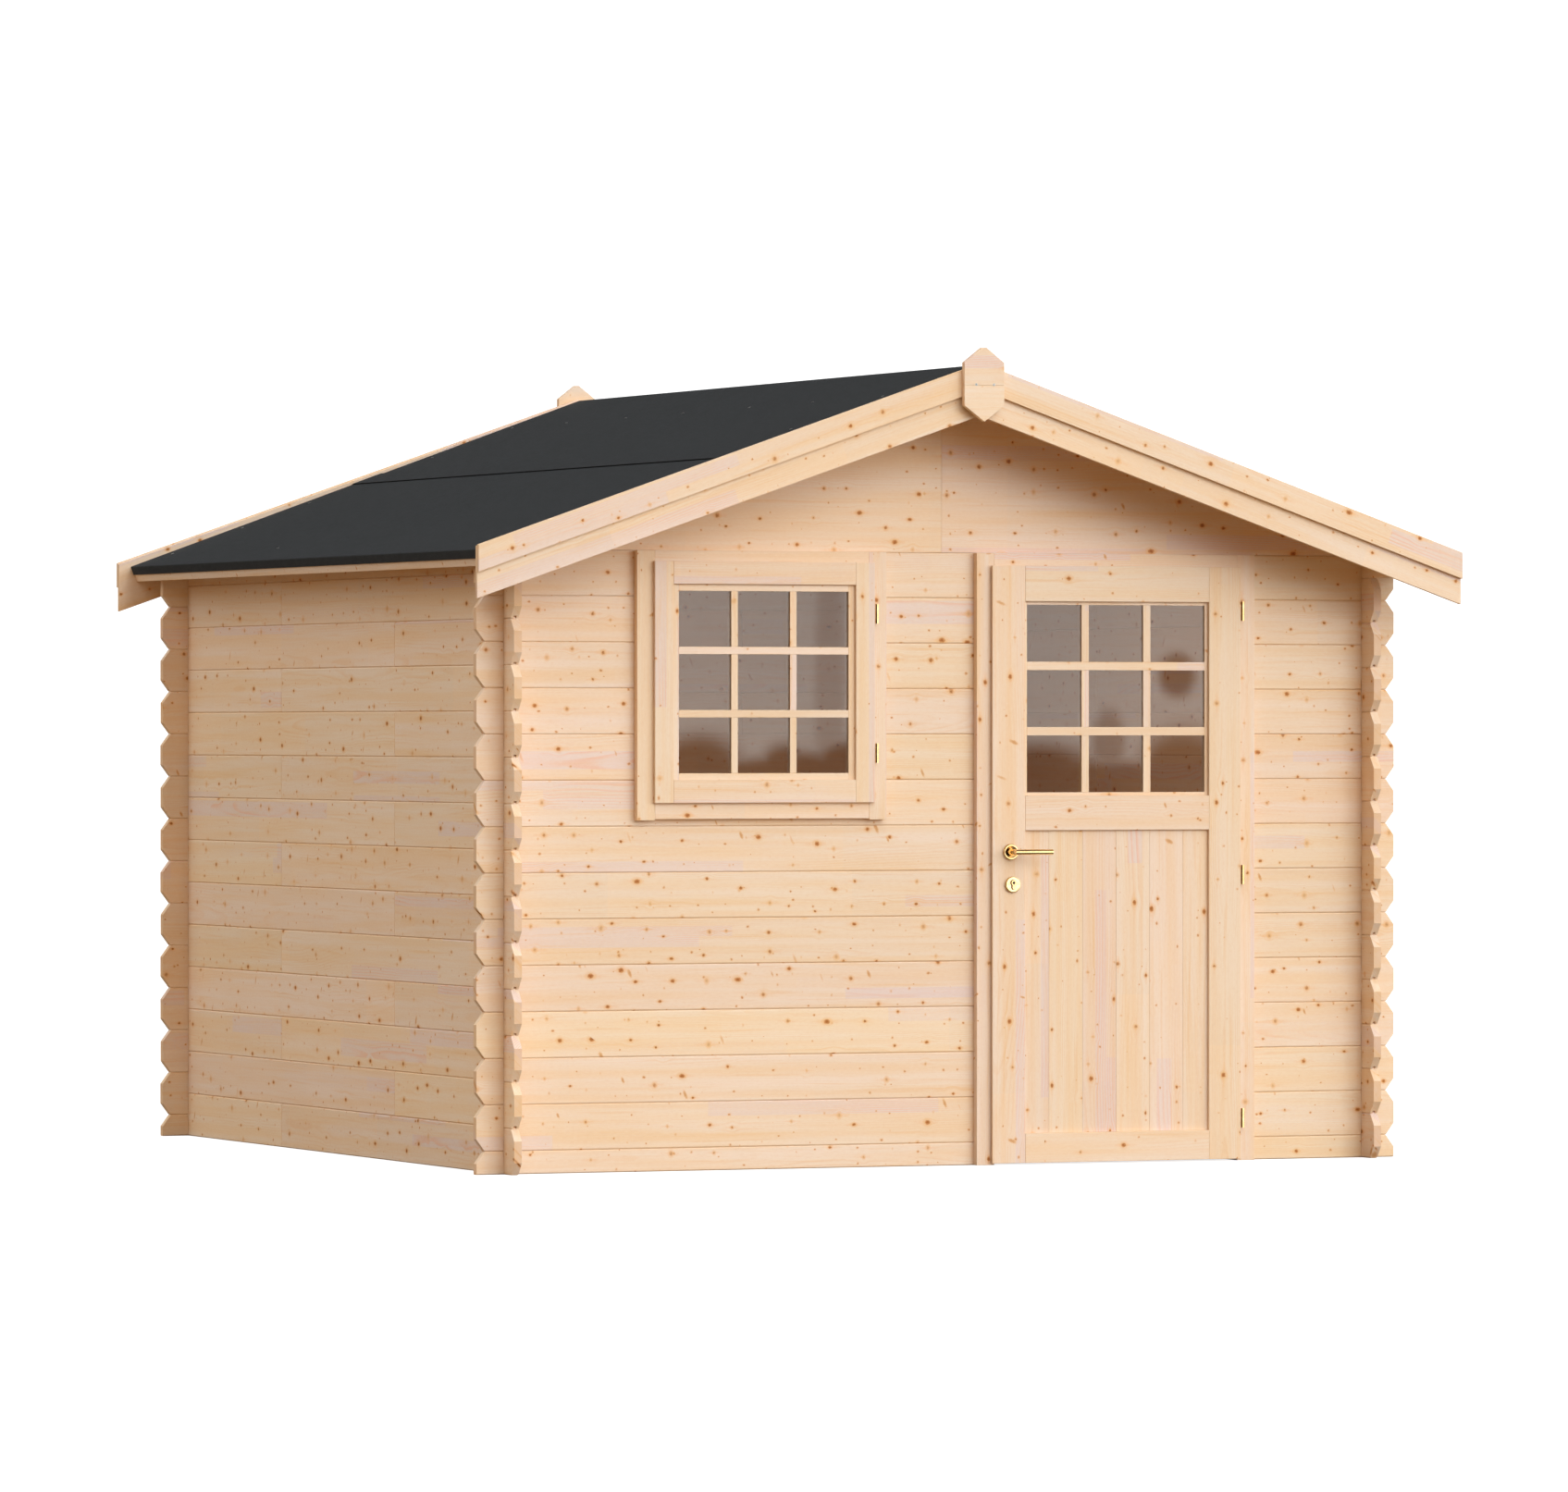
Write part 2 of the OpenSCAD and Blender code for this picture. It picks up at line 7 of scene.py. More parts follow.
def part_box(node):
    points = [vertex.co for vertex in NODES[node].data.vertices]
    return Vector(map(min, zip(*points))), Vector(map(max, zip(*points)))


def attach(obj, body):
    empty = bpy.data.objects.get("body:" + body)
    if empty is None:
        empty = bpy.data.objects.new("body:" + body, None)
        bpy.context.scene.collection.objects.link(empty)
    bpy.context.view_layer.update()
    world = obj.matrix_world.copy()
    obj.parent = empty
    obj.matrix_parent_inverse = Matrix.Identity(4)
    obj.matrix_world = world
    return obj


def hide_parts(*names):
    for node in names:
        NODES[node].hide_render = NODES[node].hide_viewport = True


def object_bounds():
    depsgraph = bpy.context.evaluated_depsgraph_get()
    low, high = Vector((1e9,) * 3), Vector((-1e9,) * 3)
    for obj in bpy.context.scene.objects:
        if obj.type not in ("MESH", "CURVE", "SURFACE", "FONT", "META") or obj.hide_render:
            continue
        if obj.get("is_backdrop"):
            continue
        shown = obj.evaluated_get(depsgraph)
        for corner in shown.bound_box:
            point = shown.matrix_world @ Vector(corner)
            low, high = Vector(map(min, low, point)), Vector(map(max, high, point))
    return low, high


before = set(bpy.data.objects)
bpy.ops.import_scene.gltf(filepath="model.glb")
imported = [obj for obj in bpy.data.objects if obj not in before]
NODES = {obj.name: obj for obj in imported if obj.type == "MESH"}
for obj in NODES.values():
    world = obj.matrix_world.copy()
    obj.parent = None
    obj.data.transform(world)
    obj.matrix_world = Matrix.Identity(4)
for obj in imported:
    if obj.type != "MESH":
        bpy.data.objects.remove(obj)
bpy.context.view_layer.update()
scene = bpy.context.scene
MM = 0.001


# ---------------------------------------------------------------- node tools
def lin(r, g, b):
    """8 bit sRGB to linear."""
    f = lambda c: c / 12.92 if c <= 0.04045 else ((c + 0.055) / 1.055) ** 2.4
    return tuple(f(v / 255.0) for v in (r, g, b))


LIGHT = (1.06, 1.035, 0.985)


def lit(r, g, b):
    """Albedo of what looks like this sRGB colour on the sunlit front."""
    return tuple(min(0.95, c / k) for c, k in zip(lin(r, g, b), LIGHT)) + (1.0,)


class Graph:
    """Short names for building a node tree."""

    def __init__(self, tree):
        self.t, self.n, self.l = tree, tree.nodes, tree.links

    def new(self, kind, **props):
        node = self.n.new(kind)
        for k, v in props.items():
            setattr(node, k, v)
        return node

    def put(self, socket, value):
        if isinstance(value, bpy.types.NodeSocket):
            self.l.new(value, socket)
        elif value is not None:
            socket.default_value = value

    def math(self, op, a, b=None, c=None, clamp=False):
        m = self.new("ShaderNodeMath", operation=op, use_clamp=clamp)
        for i, v in enumerate((a, b, c)):
            if v is not None:
                self.put(m.inputs[i], v)
        return m.outputs[0]

    def vmath(self, op, a, b=None, scale=None):
        m = self.new("ShaderNodeVectorMath", operation=op)
        self.put(m.inputs[0], a)
        if b is not None:
            self.put(m.inputs[1], b)
        if scale is not None:
            self.put(m.inputs[3], scale)
        return m.outputs["Value"] if op in ("LENGTH", "DOT_PRODUCT", "DISTANCE") else m.outputs[0]

    def xyz(self, x=0.0, y=0.0, z=0.0):
        m = self.new("ShaderNodeCombineXYZ")
        for i, v in enumerate((x, y, z)):
            self.put(m.inputs[i], v)
        return m.outputs[0]

    def split(self, v):
        m = self.new("ShaderNodeSeparateXYZ")
        self.put(m.inputs[0], v)
        return m.outputs[0], m.outputs[1], m.outputs[2]

    def mix(self, f, a, b, blend="MIX"):
        m = self.new("ShaderNodeMix", data_type="RGBA", blend_type=blend)
        self.put(m.inputs[0], f)
        self.put(m.inputs[6], a)
        self.put(m.inputs[7], b)
        return m.outputs[2]

    def fmix(self, f, a, b):
        m = self.new("ShaderNodeMix", data_type="FLOAT")
        self.put(m.inputs[0], f)
        self.put(m.inputs[2], a)
        self.put(m.inputs[3], b)
        return m.outputs[0]

    def step(self, v, lo, hi, a=0.0, b=1.0, smooth=True):
        m = self.new("ShaderNodeMapRange",
                     interpolation_type="SMOOTHSTEP" if smooth else "LINEAR", clamp=True)
        for i, x in enumerate((v, lo, hi, a, b)):
            self.put(m.inputs[i], x)
        return m.outputs[0]

    def noise(self, v, scale=1.0, detail=2.0, rough=0.5, dims="3D", colour=False):
        m = self.new("ShaderNodeTexNoise", noise_dimensions=dims)
        self.put(m.inputs["Vector"], v)
        m.inputs["Scale"].default_value = scale
        m.inputs["Detail"].default_value = detail
        m.inputs["Roughness"].default_value = rough
        return m.outputs["Color" if colour else "Fac"]

    def voronoi(self, v, scale=1.0, dims="2D", metric="EUCLIDEAN", rand=1.0, feature="F1"):
        m = self.new("ShaderNodeTexVoronoi", voronoi_dimensions=dims,
                     distance=metric, feature=feature)
        self.put(m.inputs["Vector"], v)
        m.inputs["Scale"].default_value = scale
        m.inputs["Randomness"].default_value = rand
        return m

    def attr(self, name):
        return self.new("ShaderNodeAttribute", attribute_name=name).outputs["Vector"]


def material(name):
    m = bpy.data.materials.new(name)
    m.use_nodes = True
    g = Graph(m.node_tree)
    return m, g, m.node_tree.nodes["Principled BSDF"]


# ---------------------------------------------------------------- materials
def spruce(name, keep=1.0, tint=0.0):
    """Planed glued spruce. Each board carries its own grain frame in the
    attribute wuv (along, across, through) and three random numbers in bid."""
    m, g, bsdf = material(name)
    u, v, w = g.split(g.attr("wuv"))
    bx, by, bz = g.split(g.attr("bid"))
    su = g.math("MULTIPLY_ADD", bx, 61.0, u)
    sv = g.math("MULTIPLY_ADD", by, 47.0, v)
    sw = g.math("MULTIPLY_ADD", bz, 53.0, w)
    both = g.math("ADD", sv, sw)

    # slow drift of the grain direction, and a small one for the knots' outline
    drift = g.math("SUBTRACT", g.noise(g.xyz(g.math("MULTIPLY", su, 1.1),
                   g.math("MULTIPLY", both, 2.0), bz), 1.0, 1.0), 0.5)
    warp = g.noise(g.xyz(g.math("MULTIPLY", su, 170.0),
                   g.math("MULTIPLY", both, 210.0), bx), 1.0, 2.0, colour=True)
    wx, wy, wz = g.split(warp)
    ku = g.math("MULTIPLY_ADD", g.math("SUBTRACT", wx, 0.5), 0.0052, su)
    kv = g.math("MULTIPLY_ADD", g.math("SUBTRACT", wy, 0.5), 0.0046, both)

    def knot_layer(cell, r_lo, r_hi, power, keep, squeeze=1.0, slant=0.0):
        sc = 1.0 / cell
        vv = g.math("MULTIPLY", kv, squeeze) if squeeze != 1.0 else kv
        uu = g.math("MULTIPLY_ADD", kv, slant, ku) if slant else ku
        vo = g.voronoi(g.xyz(uu, vv), sc)
        r1, r2, r3 = g.split(vo.outputs["Color"])
        px, py, _ = g.split(vo.outputs["Position"])
        du, dv = g.math("SUBTRACT", uu, px), g.math("SUBTRACT", vv, py)
        # each knot is a little longer along or across the grain
        long = g.math("MULTIPLY_ADD", r3, 0.75, 0.65)
        eu = g.math("MULTIPLY", du, long)
        d = g.math("SQRT", g.math("ADD", g.math("MULTIPLY", eu, eu), g.math("MULTIPLY", dv, dv)))
        rad = g.math("MULTIPLY_ADD", g.math("POWER", r1, power), r_hi - r_lo, r_lo)
        there = g.math("GREATER_THAN", r2, 1.0 - keep)
        return dict(q=g.math("DIVIDE", d, rad), d=d, du=du, dv=dv, rad=rad, r=r3, r2=r2, there=there)

    big = knot_layer(0.094, 0.0034, 0.0072, 1.4, 0.68 * keep)
    mid = knot_layer(0.060, 0.0014, 0.0038, 1.2, 0.66 * keep)
    spike = knot_layer(0.130, 0.0022, 0.0050, 1.0, 0.48 * keep, squeeze=0.36, slant=0.35)

    # growth rings round a pith below the face, bent round the knots
    push = g.math("MULTIPLY", big["dv"], g.math("MULTIPLY", big["there"],
                  g.step(big["d"], 0.034, 0.0, 0.0, 0.85)))
    vd = g.math("SUBTRACT", v, push)
    a = g.math("SUBTRACT", vd, g.math("MULTIPLY_ADD", by, 0.16, -0.08))
    b = g.math("SUBTRACT", w, g.math("MULTIPLY_ADD", bz, 0.09, 0.02))
    rr = g.math("SQRT", g.math("ADD", g.math("MULTIPLY", a, a), g.math("MULTIPLY", b, b)))
    rr = g.math("MULTIPLY_ADD", drift, 0.060, rr)
    fine = g.math("SUBTRACT", g.noise(g.xyz(g.math("MULTIPLY", su, 5.0),
                  g.math("MULTIPLY", both, 14.0), bx), 1.0, 2.0), 0.5)
    rr = g.math("MULTIPLY_ADD", fine, 0.0060, rr)
    phase = g.math("FRACT", g.math("DIVIDE", rr, 0.0056))
    late = g.math("MULTIPLY", g.step(phase, 0.42, 0.88), g.step(phase, 1.0, 0.92))
    where = g.noise(g.xyz(g.math("MULTIPLY", su, 1.9), g.math("MULTIPLY", both, 13.0), bx), 1.0, 2.0)
    show = g.step(where, 0.46, 0.74, 0.05, 0.66)

    # the strips that the planks are glued from, and their finger joints
    wide = g.math("MULTIPLY_ADD", bx, 0.026, 0.030)
    row = g.math("FLOOR", g.math("DIVIDE", g.math("ADD", both, by), wide))
    n1 = g.new("ShaderNodeTexWhiteNoise", noise_dimensions="2D")
    g.put(n1.inputs["Vector"], g.xyz(row, g.math("MULTIPLY", bx, 97.0)))
    col_i = g.math("FLOOR", g.math("DIVIDE", g.math("MULTIPLY_ADD", n1.outputs["Value"], 3.1, su), 0.74))
    n2 = g.new("ShaderNodeTexWhiteNoise", noise_dimensions="3D")
    g.put(n2.inputs["Vector"], g.xyz(row, col_i, g.math("MULTIPLY_ADD", bz, 17.0, by)))
    c1, c2, c3 = g.split(n2.outputs["Color"])
    pink = g.math("GREATER_THAN", c1, 0.905)
    warmth = g.math("SUBTRACT", c2, 0.5)
    n3 = g.new("ShaderNodeTexWhiteNoise", noise_dimensions="2D")
    g.put(n3.inputs["Vector"], g.xyz(g.math("FLOOR", g.math("DIVIDE", su, 0.78)), g.math("MULTIPLY", by, 89.0)))
    whole = n3.outputs["Value"]

    streak = g.noise(g.xyz(g.math("MULTIPLY", su, 0.9), g.math("MULTIPLY", sv, 30.0),
                     g.math("MULTIPLY", sw, 30.0)), 1.0, 2.0, 0.55)
    bend = g.math("MULTIPLY_ADD", drift, 0.045, g.math("SUBTRACT", both, push))
    lines = g.noise(g.xyz(g.math("MULTIPLY", su, 2.2), g.math("MULTIPLY", bend, 92.0), bz), 1.0, 2.0, 0.6)
    bands = g.noise(g.xyz(g.math("MULTIPLY", su, 1.3), g.math("MULTIPLY", bend, 44.0), bx), 1.0, 1.0, 0.5)
    cloud = g.noise(g.xyz(g.math("MULTIPLY", su, 1.6), g.math("MULTIPLY", both, 7.0), bz), 1.0, 2.0)
    fibre = g.noise(g.xyz(g.math("MULTIPLY", su, 10.0), g.math("MULTIPLY", sv, 520.0),
                    g.math("MULTIPLY", sw, 520.0)), 1.0, 2.0, 0.6)
    speck = g.noise(g.xyz(g.math("MULTIPLY", su, 75.0), g.math("MULTIPLY", both, 210.0), by), 1.0, 2.0, 0.6)

    cream, honey = lit(248, 221, 191), lit(247, 211, 169)
    rose, pale = lit(239, 214, 200), lit(251, 225, 200)
    t = g.math("MULTIPLY_ADD", warmth, 0.34, g.step(streak, 0.30, 0.74))
    t = g.math("ADD", t, g.math("MULTIPLY", g.math("SUBTRACT", cloud, 0.5), 0.9))
    t = g.math("ADD", t, g.math("MULTIPLY", g.math("SUBTRACT", whole, 0.5), 0.34), clamp=True)
    col = g.mix(t, cream, honey)
    col = g.mix(g.step(streak, 0.42, 0.25, 0.0, 0.4), col, pale)
    col = g.mix(g.step(bands, 0.60, 0.80, 0.0, 0.42), col, lit(245, 203, 148))
    col = g.mix(g.math("MULTIPLY", pink, 0.80), col, rose)
    col = g.mix(g.step(lines, 0.55, 0.76, 0.0, 0.50), col, lit(243, 196, 138))
    show = g.math("MAXIMUM", show, g.math("MULTIPLY", pink, g.step(where, 0.40, 0.60, 0.10, 0.80)))
    ring_colour = g.mix(pink, lit(241, 190, 130), lit(246, 176, 126))
    col = g.mix(g.math("MULTIPLY", late, g.math("MULTIPLY", show, 0.62)), col, ring_colour)
    col = g.mix(g.step(fibre, 0.40, 0.75, 0.0, 0.12), col, lit(236, 188, 140))
    col = g.mix(g.step(speck, 0.46, 0.80, 0.0, 0.22), col, lit(236, 192, 146))
    col = g.mix(g.step(speck, 0.48, 0.20, 0.0, 0.30), col, pale)

    # flames of darker grain that run out from each knot along the board
    far = g.math("DIVIDE", g.math("ABSOLUTE", big["du"]), big["rad"])
    off = g.math("DIVIDE", g.math("ABSOLUTE", big["dv"]), big["rad"])
    flame = g.math("MULTIPLY", g.step(far, 9.0, 0.5), g.step(off, 1.25, 0.15))
    flame = g.math("MULTIPLY", flame, g.math("MULTIPLY", big["there"], g.step(wz, 0.30, 0.60, 0.10, 0.42)))
    col = g.mix(flame, col, lit(242, 184, 122))

    # knots: a soft orange halo, a tan body and a darker heart set off centre
    def paint(col, k, strength, heart, body, glow, reach=2.3):
        s = g.math("MULTIPLY", k["there"], strength)
        deep = g.step(k["r"], 0.25, 1.0, 1.0, 0.16)
        q = k["q"]
        col = g.mix(g.math("MULTIPLY", g.step(q, reach, 0.90, 0.0, 0.62), s), col, glow)
        col = g.mix(g.math("MULTIPLY", g.math("MULTIPLY", g.step(q, 1.22, 0.78), s), deep), col, body)
        h = g.math("MULTIPLY_ADD", g.math("SUBTRACT", wz, 0.5), 0.9, q)
        col = g.mix(g.math("MULTIPLY", g.math("MULTIPLY", g.step(h, 0.86, 0.30), s), deep), col, heart)
        return col

    col = paint(col, spike, 0.66, lit(216, 152, 92), lit(224, 166, 106), lit(244, 194, 138), 1.7)
    col = paint(col, mid, 0.66, lit(200, 128, 68), lit(222, 156, 96), lit(244, 194, 136))
    col = paint(col, big, 0.92, lit(166, 98, 48), lit(212, 142, 80), lit(241, 187, 124), 2.6)

    # end grain is a little darker
    tc = g.new("ShaderNodeTexCoord")
    end = g.math("ABSOLUTE", g.vmath("DOT_PRODUCT", tc.outputs["Normal"], g.attr("gax")))
    col = g.mix(g.math("MULTIPLY", g.step(end, 0.80, 0.97), 0.45), col, lit(228, 176, 124))
    # every board a little different
    one = g.step(bx, 0.0, 1.0, 0.966, 1.022, smooth=False)
    one = g.math("MULTIPLY", one, g.step(whole, 0.0, 1.0, 0.982, 1.018, smooth=False))
    col = g.mix(1.0, col, g.xyz(one, g.math("MULTIPLY", one, g.step(by, 0.0, 1.0, 0.988, 1.010, smooth=False)),
                                g.math("MULTIPLY", one, g.step(bz, 0.0, 1.0, 0.965, 1.025, smooth=False))), "MULTIPLY")
    if tint:
        col = g.mix(tint, col, lit(214, 164, 118))
    g.put(bsdf.inputs["Base Color"], col)
    spot = g.math("MULTIPLY", g.step(big["q"], 1.1, 0.8), big["there"])
    rough = g.fmix(spot, 0.60, 0.44)
    rough = g.math("MULTIPLY_ADD", g.math("SUBTRACT", fibre, 0.5), 0.14, rough)
    g.put(bsdf.inputs["Roughness"], rough)
    bsdf.inputs["IOR"].default_value = 1.42
    bsdf.inputs["Specular IOR Level"].default_value = 0.30
    height = g.math("MULTIPLY_ADD", fibre, 0.30, g.math("MULTIPLY", late, 0.35))
    height = g.math("MULTIPLY_ADD", spot, -0.5, height)
    bump = g.new("ShaderNodeBump")
    bump.inputs["Strength"].default_value = 0.35
    bump.inputs["Distance"].default_value = 0.00035
    g.put(bump.inputs["Height"], height)
    g.put(bsdf.inputs["Normal"], bump.outputs[0])
    return m


def felt_material():
    """Mineral coated roofing felt."""
    m, g, bsdf = material("felt")
    p = g.new("ShaderNodeTexCoord").outputs["Object"]
    grit = g.noise(p, 900.0, 2.0, 0.7)
    clump = g.noise(p, 38.0, 3.0, 0.6)
    wide = g.noise(p, 1.1, 3.0, 0.5)
    gran = g.voronoi(p, 520.0, dims="3D")
    col = g.mix(g.step(grit, 0.3, 0.75), lin(45, 47, 48.5) + (1,), lin(69.5, 72, 74) + (1,))
    col = g.mix(g.step(gran.outputs["Distance"], 0.25, 0.05, 0.0, 0.20), col, lin(95, 98, 101) + (1,))
    col = g.mix(g.step(clump, 0.35, 0.7, 0.0, 0.25), col, lin(40, 42, 43.5) + (1,))
    col = g.mix(g.step(wide, 0.35, 0.7, 0.0, 0.14), col, lin(63, 65, 67.5) + (1,))
    g.put(bsdf.inputs["Base Color"], col)
    bsdf.inputs["Roughness"].default_value = 0.93
    bsdf.inputs["Specular IOR Level"].default_value = 0.18
    bump = g.new("ShaderNodeBump")
    bump.inputs["Strength"].default_value = 0.5
    bump.inputs["Distance"].default_value = 0.0008
    g.put(bump.inputs["Height"], g.math("MULTIPLY_ADD", clump, 0.6, grit))
    g.put(bsdf.inputs["Normal"], bump.outputs[0])
    return m


def brass_material():
    m, g, bsdf = material("brass")
    p = g.new("ShaderNodeTexCoord").outputs["Object"]
    n = g.noise(p, 60.0, 3.0, 0.6)
    col = g.mix(g.step(n, 0.3, 0.7), lin(252, 221, 168) + (1,), lin(244, 203, 138) + (1,))
    g.put(bsdf.inputs["Base Color"], col)
    bsdf.inputs["Metallic"].default_value = 1.0
    g.put(bsdf.inputs["Roughness"], g.step(n, 0.2, 0.8, 0.12, 0.20))
    return m


def steel_material():
    m, g, bsdf = material("zinc")
    p = g.new("ShaderNodeTexCoord").outputs["Object"]
    n = g.noise(p, 300.0, 3.0, 0.6)
    g.put(bsdf.inputs["Base Color"], g.mix(n, lin(168, 168, 166) + (1,), lin(206, 206, 203) + (1,)))
    bsdf.inputs["Metallic"].default_value = 0.85
    g.put(bsdf.inputs["Roughness"], g.step(n, 0.2, 0.8, 0.35, 0.6))
    return m


def painted_shade_material():
    # near-black painted shade: stands for the shade in key holes, screw slots, round the foot of the profile cylinder
    # and under the felt laps
    m, g, bsdf = material("painted_shade_black")
    p = g.new("ShaderNodeTexCoord").outputs["Object"]
    n = g.noise(p, 400.0, 2.0)
    g.put(bsdf.inputs["Base Color"], g.mix(n, (0.004, 0.004, 0.004, 1), (0.012, 0.010, 0.008, 1)))
    bsdf.inputs["Roughness"].default_value = 0.6
    return m


def glass_material():
    """Clear panes; lamps shine through them without bending."""
    m, g, bsdf = material("pane_glass")
    p = g.new("ShaderNodeTexCoord").outputs["Object"]
    film = g.noise(p, 7.0, 3.0, 0.6)
    g.put(bsdf.inputs["Base Color"], g.mix(film, (0.94, 0.92, 0.90, 1), (0.90, 0.88, 0.86, 1)))
    g.put(bsdf.inputs["Roughness"], g.step(film, 0.3, 0.8, 0.0, 0.012))
    bsdf.inputs["IOR"].default_value = 1.52
    bsdf.inputs["Transmission Weight"].default_value = 1.0
    clear = g.new("ShaderNodeBsdfTransparent")
    clear.inputs[0].default_value = (0.90, 0.88, 0.86, 1)
    mix = g.new("ShaderNodeMixShader")
    g.put(mix.inputs[0], g.new("ShaderNodeLightPath").outputs["Is Shadow Ray"])
    g.l.new(bsdf.outputs[0], mix.inputs[1])
    g.l.new(clear.outputs[0], mix.inputs[2])
    g.l.new(mix.outputs[0], m.node_tree.nodes["Material Output"].inputs[0])
    return m


SPRUCE = spruce("spruce")
TRIM = spruce("spruce_joinery", keep=0.74)
SAWN = spruce("spruce_roof_boards", tint=0.30)
FELT = felt_material()
BRASS = brass_material()
ZINC = steel_material()
PAINTED_SHADE = painted_shade_material()
GLASS = glass_material()


# ---------------------------------------------------------------- wood pieces
class Boards:
    """Collects boards in one mesh and gives each its own grain frame."""

    def __init__(self, name, seed):
        self.name = name
        self.rng = random.Random(seed)
        self.verts, self.faces = [], []
        self.wuv, self.bid, self.gax = [], [], []

    def add(self, verts, faces, grain, up=None, bevel=0.0009, segments=2):
        """verts and faces of one closed board; grain is its long direction."""
        bm = bmesh.new()
        vs = [bm.verts.new(v) for v in verts]
        for f in faces:
            bm.faces.new([vs[i] for i in f])
        bmesh.ops.recalc_face_normals(bm, faces=bm.faces)
        self.add_bm(bm, grain, up, bevel, segments)

    def add_bm(self, bm, grain, up=None, bevel=0.0009, segments=2, butt=0.0):
        g = Vector(grain).normalized()
        if butt:
            along = [v.co.dot(g) for v in bm.verts]
            for end in (min(along), max(along)):
                if abs(end) < 1.25:
                    rim = [e for e in bm.edges
                           if all(abs(v.co.dot(g) - end) < 1e-4 for v in e.verts)]
                    bmesh.ops.bevel(bm, geom=rim, offset=butt, offset_type="OFFSET",
                                    segments=1, profile=0.5, affect="EDGES", clamp_overlap=True)
                    pull = g * (0.0009 if end < 0 else -0.0009)
                    for v in bm.verts:
                        if abs(v.co.dot(g) - end) < butt * 1.05:
                            v.co += pull
        if up is None:
            size = [max(v.co[i] for v in bm.verts) - min(v.co[i] for v in bm.verts) for i in range(3)]
            order = [i for i in range(3) if abs(g[i]) < 0.7]
            across = Vector((0, 0, 0))
            across[max(order, key=lambda i: size[i])] = 1.0
        else:
            across = Vector(up)
        across = (across - g * across.dot(g)).normalized()
        thru = g.cross(across)
        if bevel:
            sharp = [e for e in bm.edges if len(e.link_faces) == 2
                     and e.calc_face_angle(0) > math.radians(20)
                     and e.calc_length() > 4 * bevel]
            bmesh.ops.bevel(bm, geom=sharp, offset=bevel, offset_type="OFFSET",
                            segments=segments, profile=0.6, affect="EDGES",
                            clamp_overlap=True)
        c = sum((v.co for v in bm.verts), Vector()) / len(bm.verts)
        r = (self.rng.random(), self.rng.random(), self.rng.random())
        base = len(self.verts)
        bm.verts.index_update()
        for v in bm.verts:
            p = v.co - c
            self.verts.append(v.co.copy())
            self.wuv.append((p.dot(g), p.dot(across), p.dot(thru)))
            self.bid.append(r)
            self.gax.append(tuple(g))
        for f in bm.faces:
            self.faces.append([base + v.index for v in f.verts])
        bm.free()

    def box(self, lo, hi, grain, **k):
        x0, y0, z0 = lo
        x1, y1, z1 = hi
        v = [(x0, y0, z0), (x1, y0, z0), (x1, y1, z0), (x0, y1, z0),
             (x0, y0, z1), (x1, y0, z1), (x1, y1, z1), (x0, y1, z1)]
        f = [(0, 3, 2, 1), (4, 5, 6, 7), (0, 1, 5, 4), (1, 2, 6, 5), (2, 3, 7, 6), (3, 0, 4, 7)]
        self.add(v, f, grain, **k)

    def prism(self, pts, a, b, axis, grain, **k):
        """A polygon pushed along an axis: 0 takes (y, z), 1 takes (x, z), 2 takes (x, y)."""
        def at(p, t):
            return [(t, p[0], p[1]), (p[0], t, p[1]), (p[0], p[1], t)][axis]
        n = len(pts)
        v = [at(p, a) for p in pts] + [at(p, b) for p in pts]
        f = [tuple(range(n)), tuple(range(2 * n - 1, n - 1, -1))]
        f += [(i, (i + 1) % n, n + (i + 1) % n, n + i) for i in range(n)]
        self.add(v, f, grain, **k)

    def finish(self, mat, body, *nodes, slot=None, smooth=False):
        me = bpy.data.meshes.new(self.name)
        me.from_pydata([tuple(v) for v in self.verts], [], self.faces)
        for key, data in (("wuv", self.wuv), ("bid", self.bid), ("gax", self.gax)):
            at = me.attributes.new(key, "FLOAT_VECTOR", "POINT")
            at.data.foreach_set("vector", [x for row in data for x in row])
        me.validate()
        me.update()
        o = bpy.data.objects.new(self.name, me)
        scene.collection.objects.link(o)
        me.materials.append(mat)
        for p in me.polygons:
            p.use_smooth = False
        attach(o, body)
        if nodes:
            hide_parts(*nodes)
        return o


def islands_of(node):
    """The separate solids of a CAD node as bmeshes with flat faces joined."""
    bm = bmesh.new()
    bm.from_mesh(NODES[node].data)
    bmesh.ops.remove_doubles(bm, verts=bm.verts, dist=2e-6)
    bmesh.ops.dissolve_limit(bm, angle_limit=math.radians(0.6), verts=bm.verts, edges=bm.edges)
    left = set(bm.verts)
    out = []
    while left:
        seed = min(left, key=lambda v: v.index)
        stack, got = [seed], {seed}
        while stack:
            v = stack.pop()
            for e in v.link_edges:
                o = e.other_vert(v)
                if o not in got:
                    got.add(o)
                    stack.append(o)
        left -= got
        order = sorted(got, key=lambda v: v.index)
        idx = {v: i for i, v in enumerate(order)}
        nb = bmesh.new()
        vs = [nb.verts.new(v.co) for v in order]
        for f in bm.faces:
            if f.verts[0] in got:
                nb.faces.new([vs[idx[v]] for v in f.verts])
        nb.normal_update()
        bmesh.ops.recalc_face_normals(nb, faces=nb.faces)
        out.append(nb)
    bm.free()
    out.sort(key=lambda b: (round(min(v.co.z for v in b.verts), 3),
                            round(min(v.co.x for v in b.verts), 3),
                            round(min(v.co.y for v in b.verts), 3)))
    return out


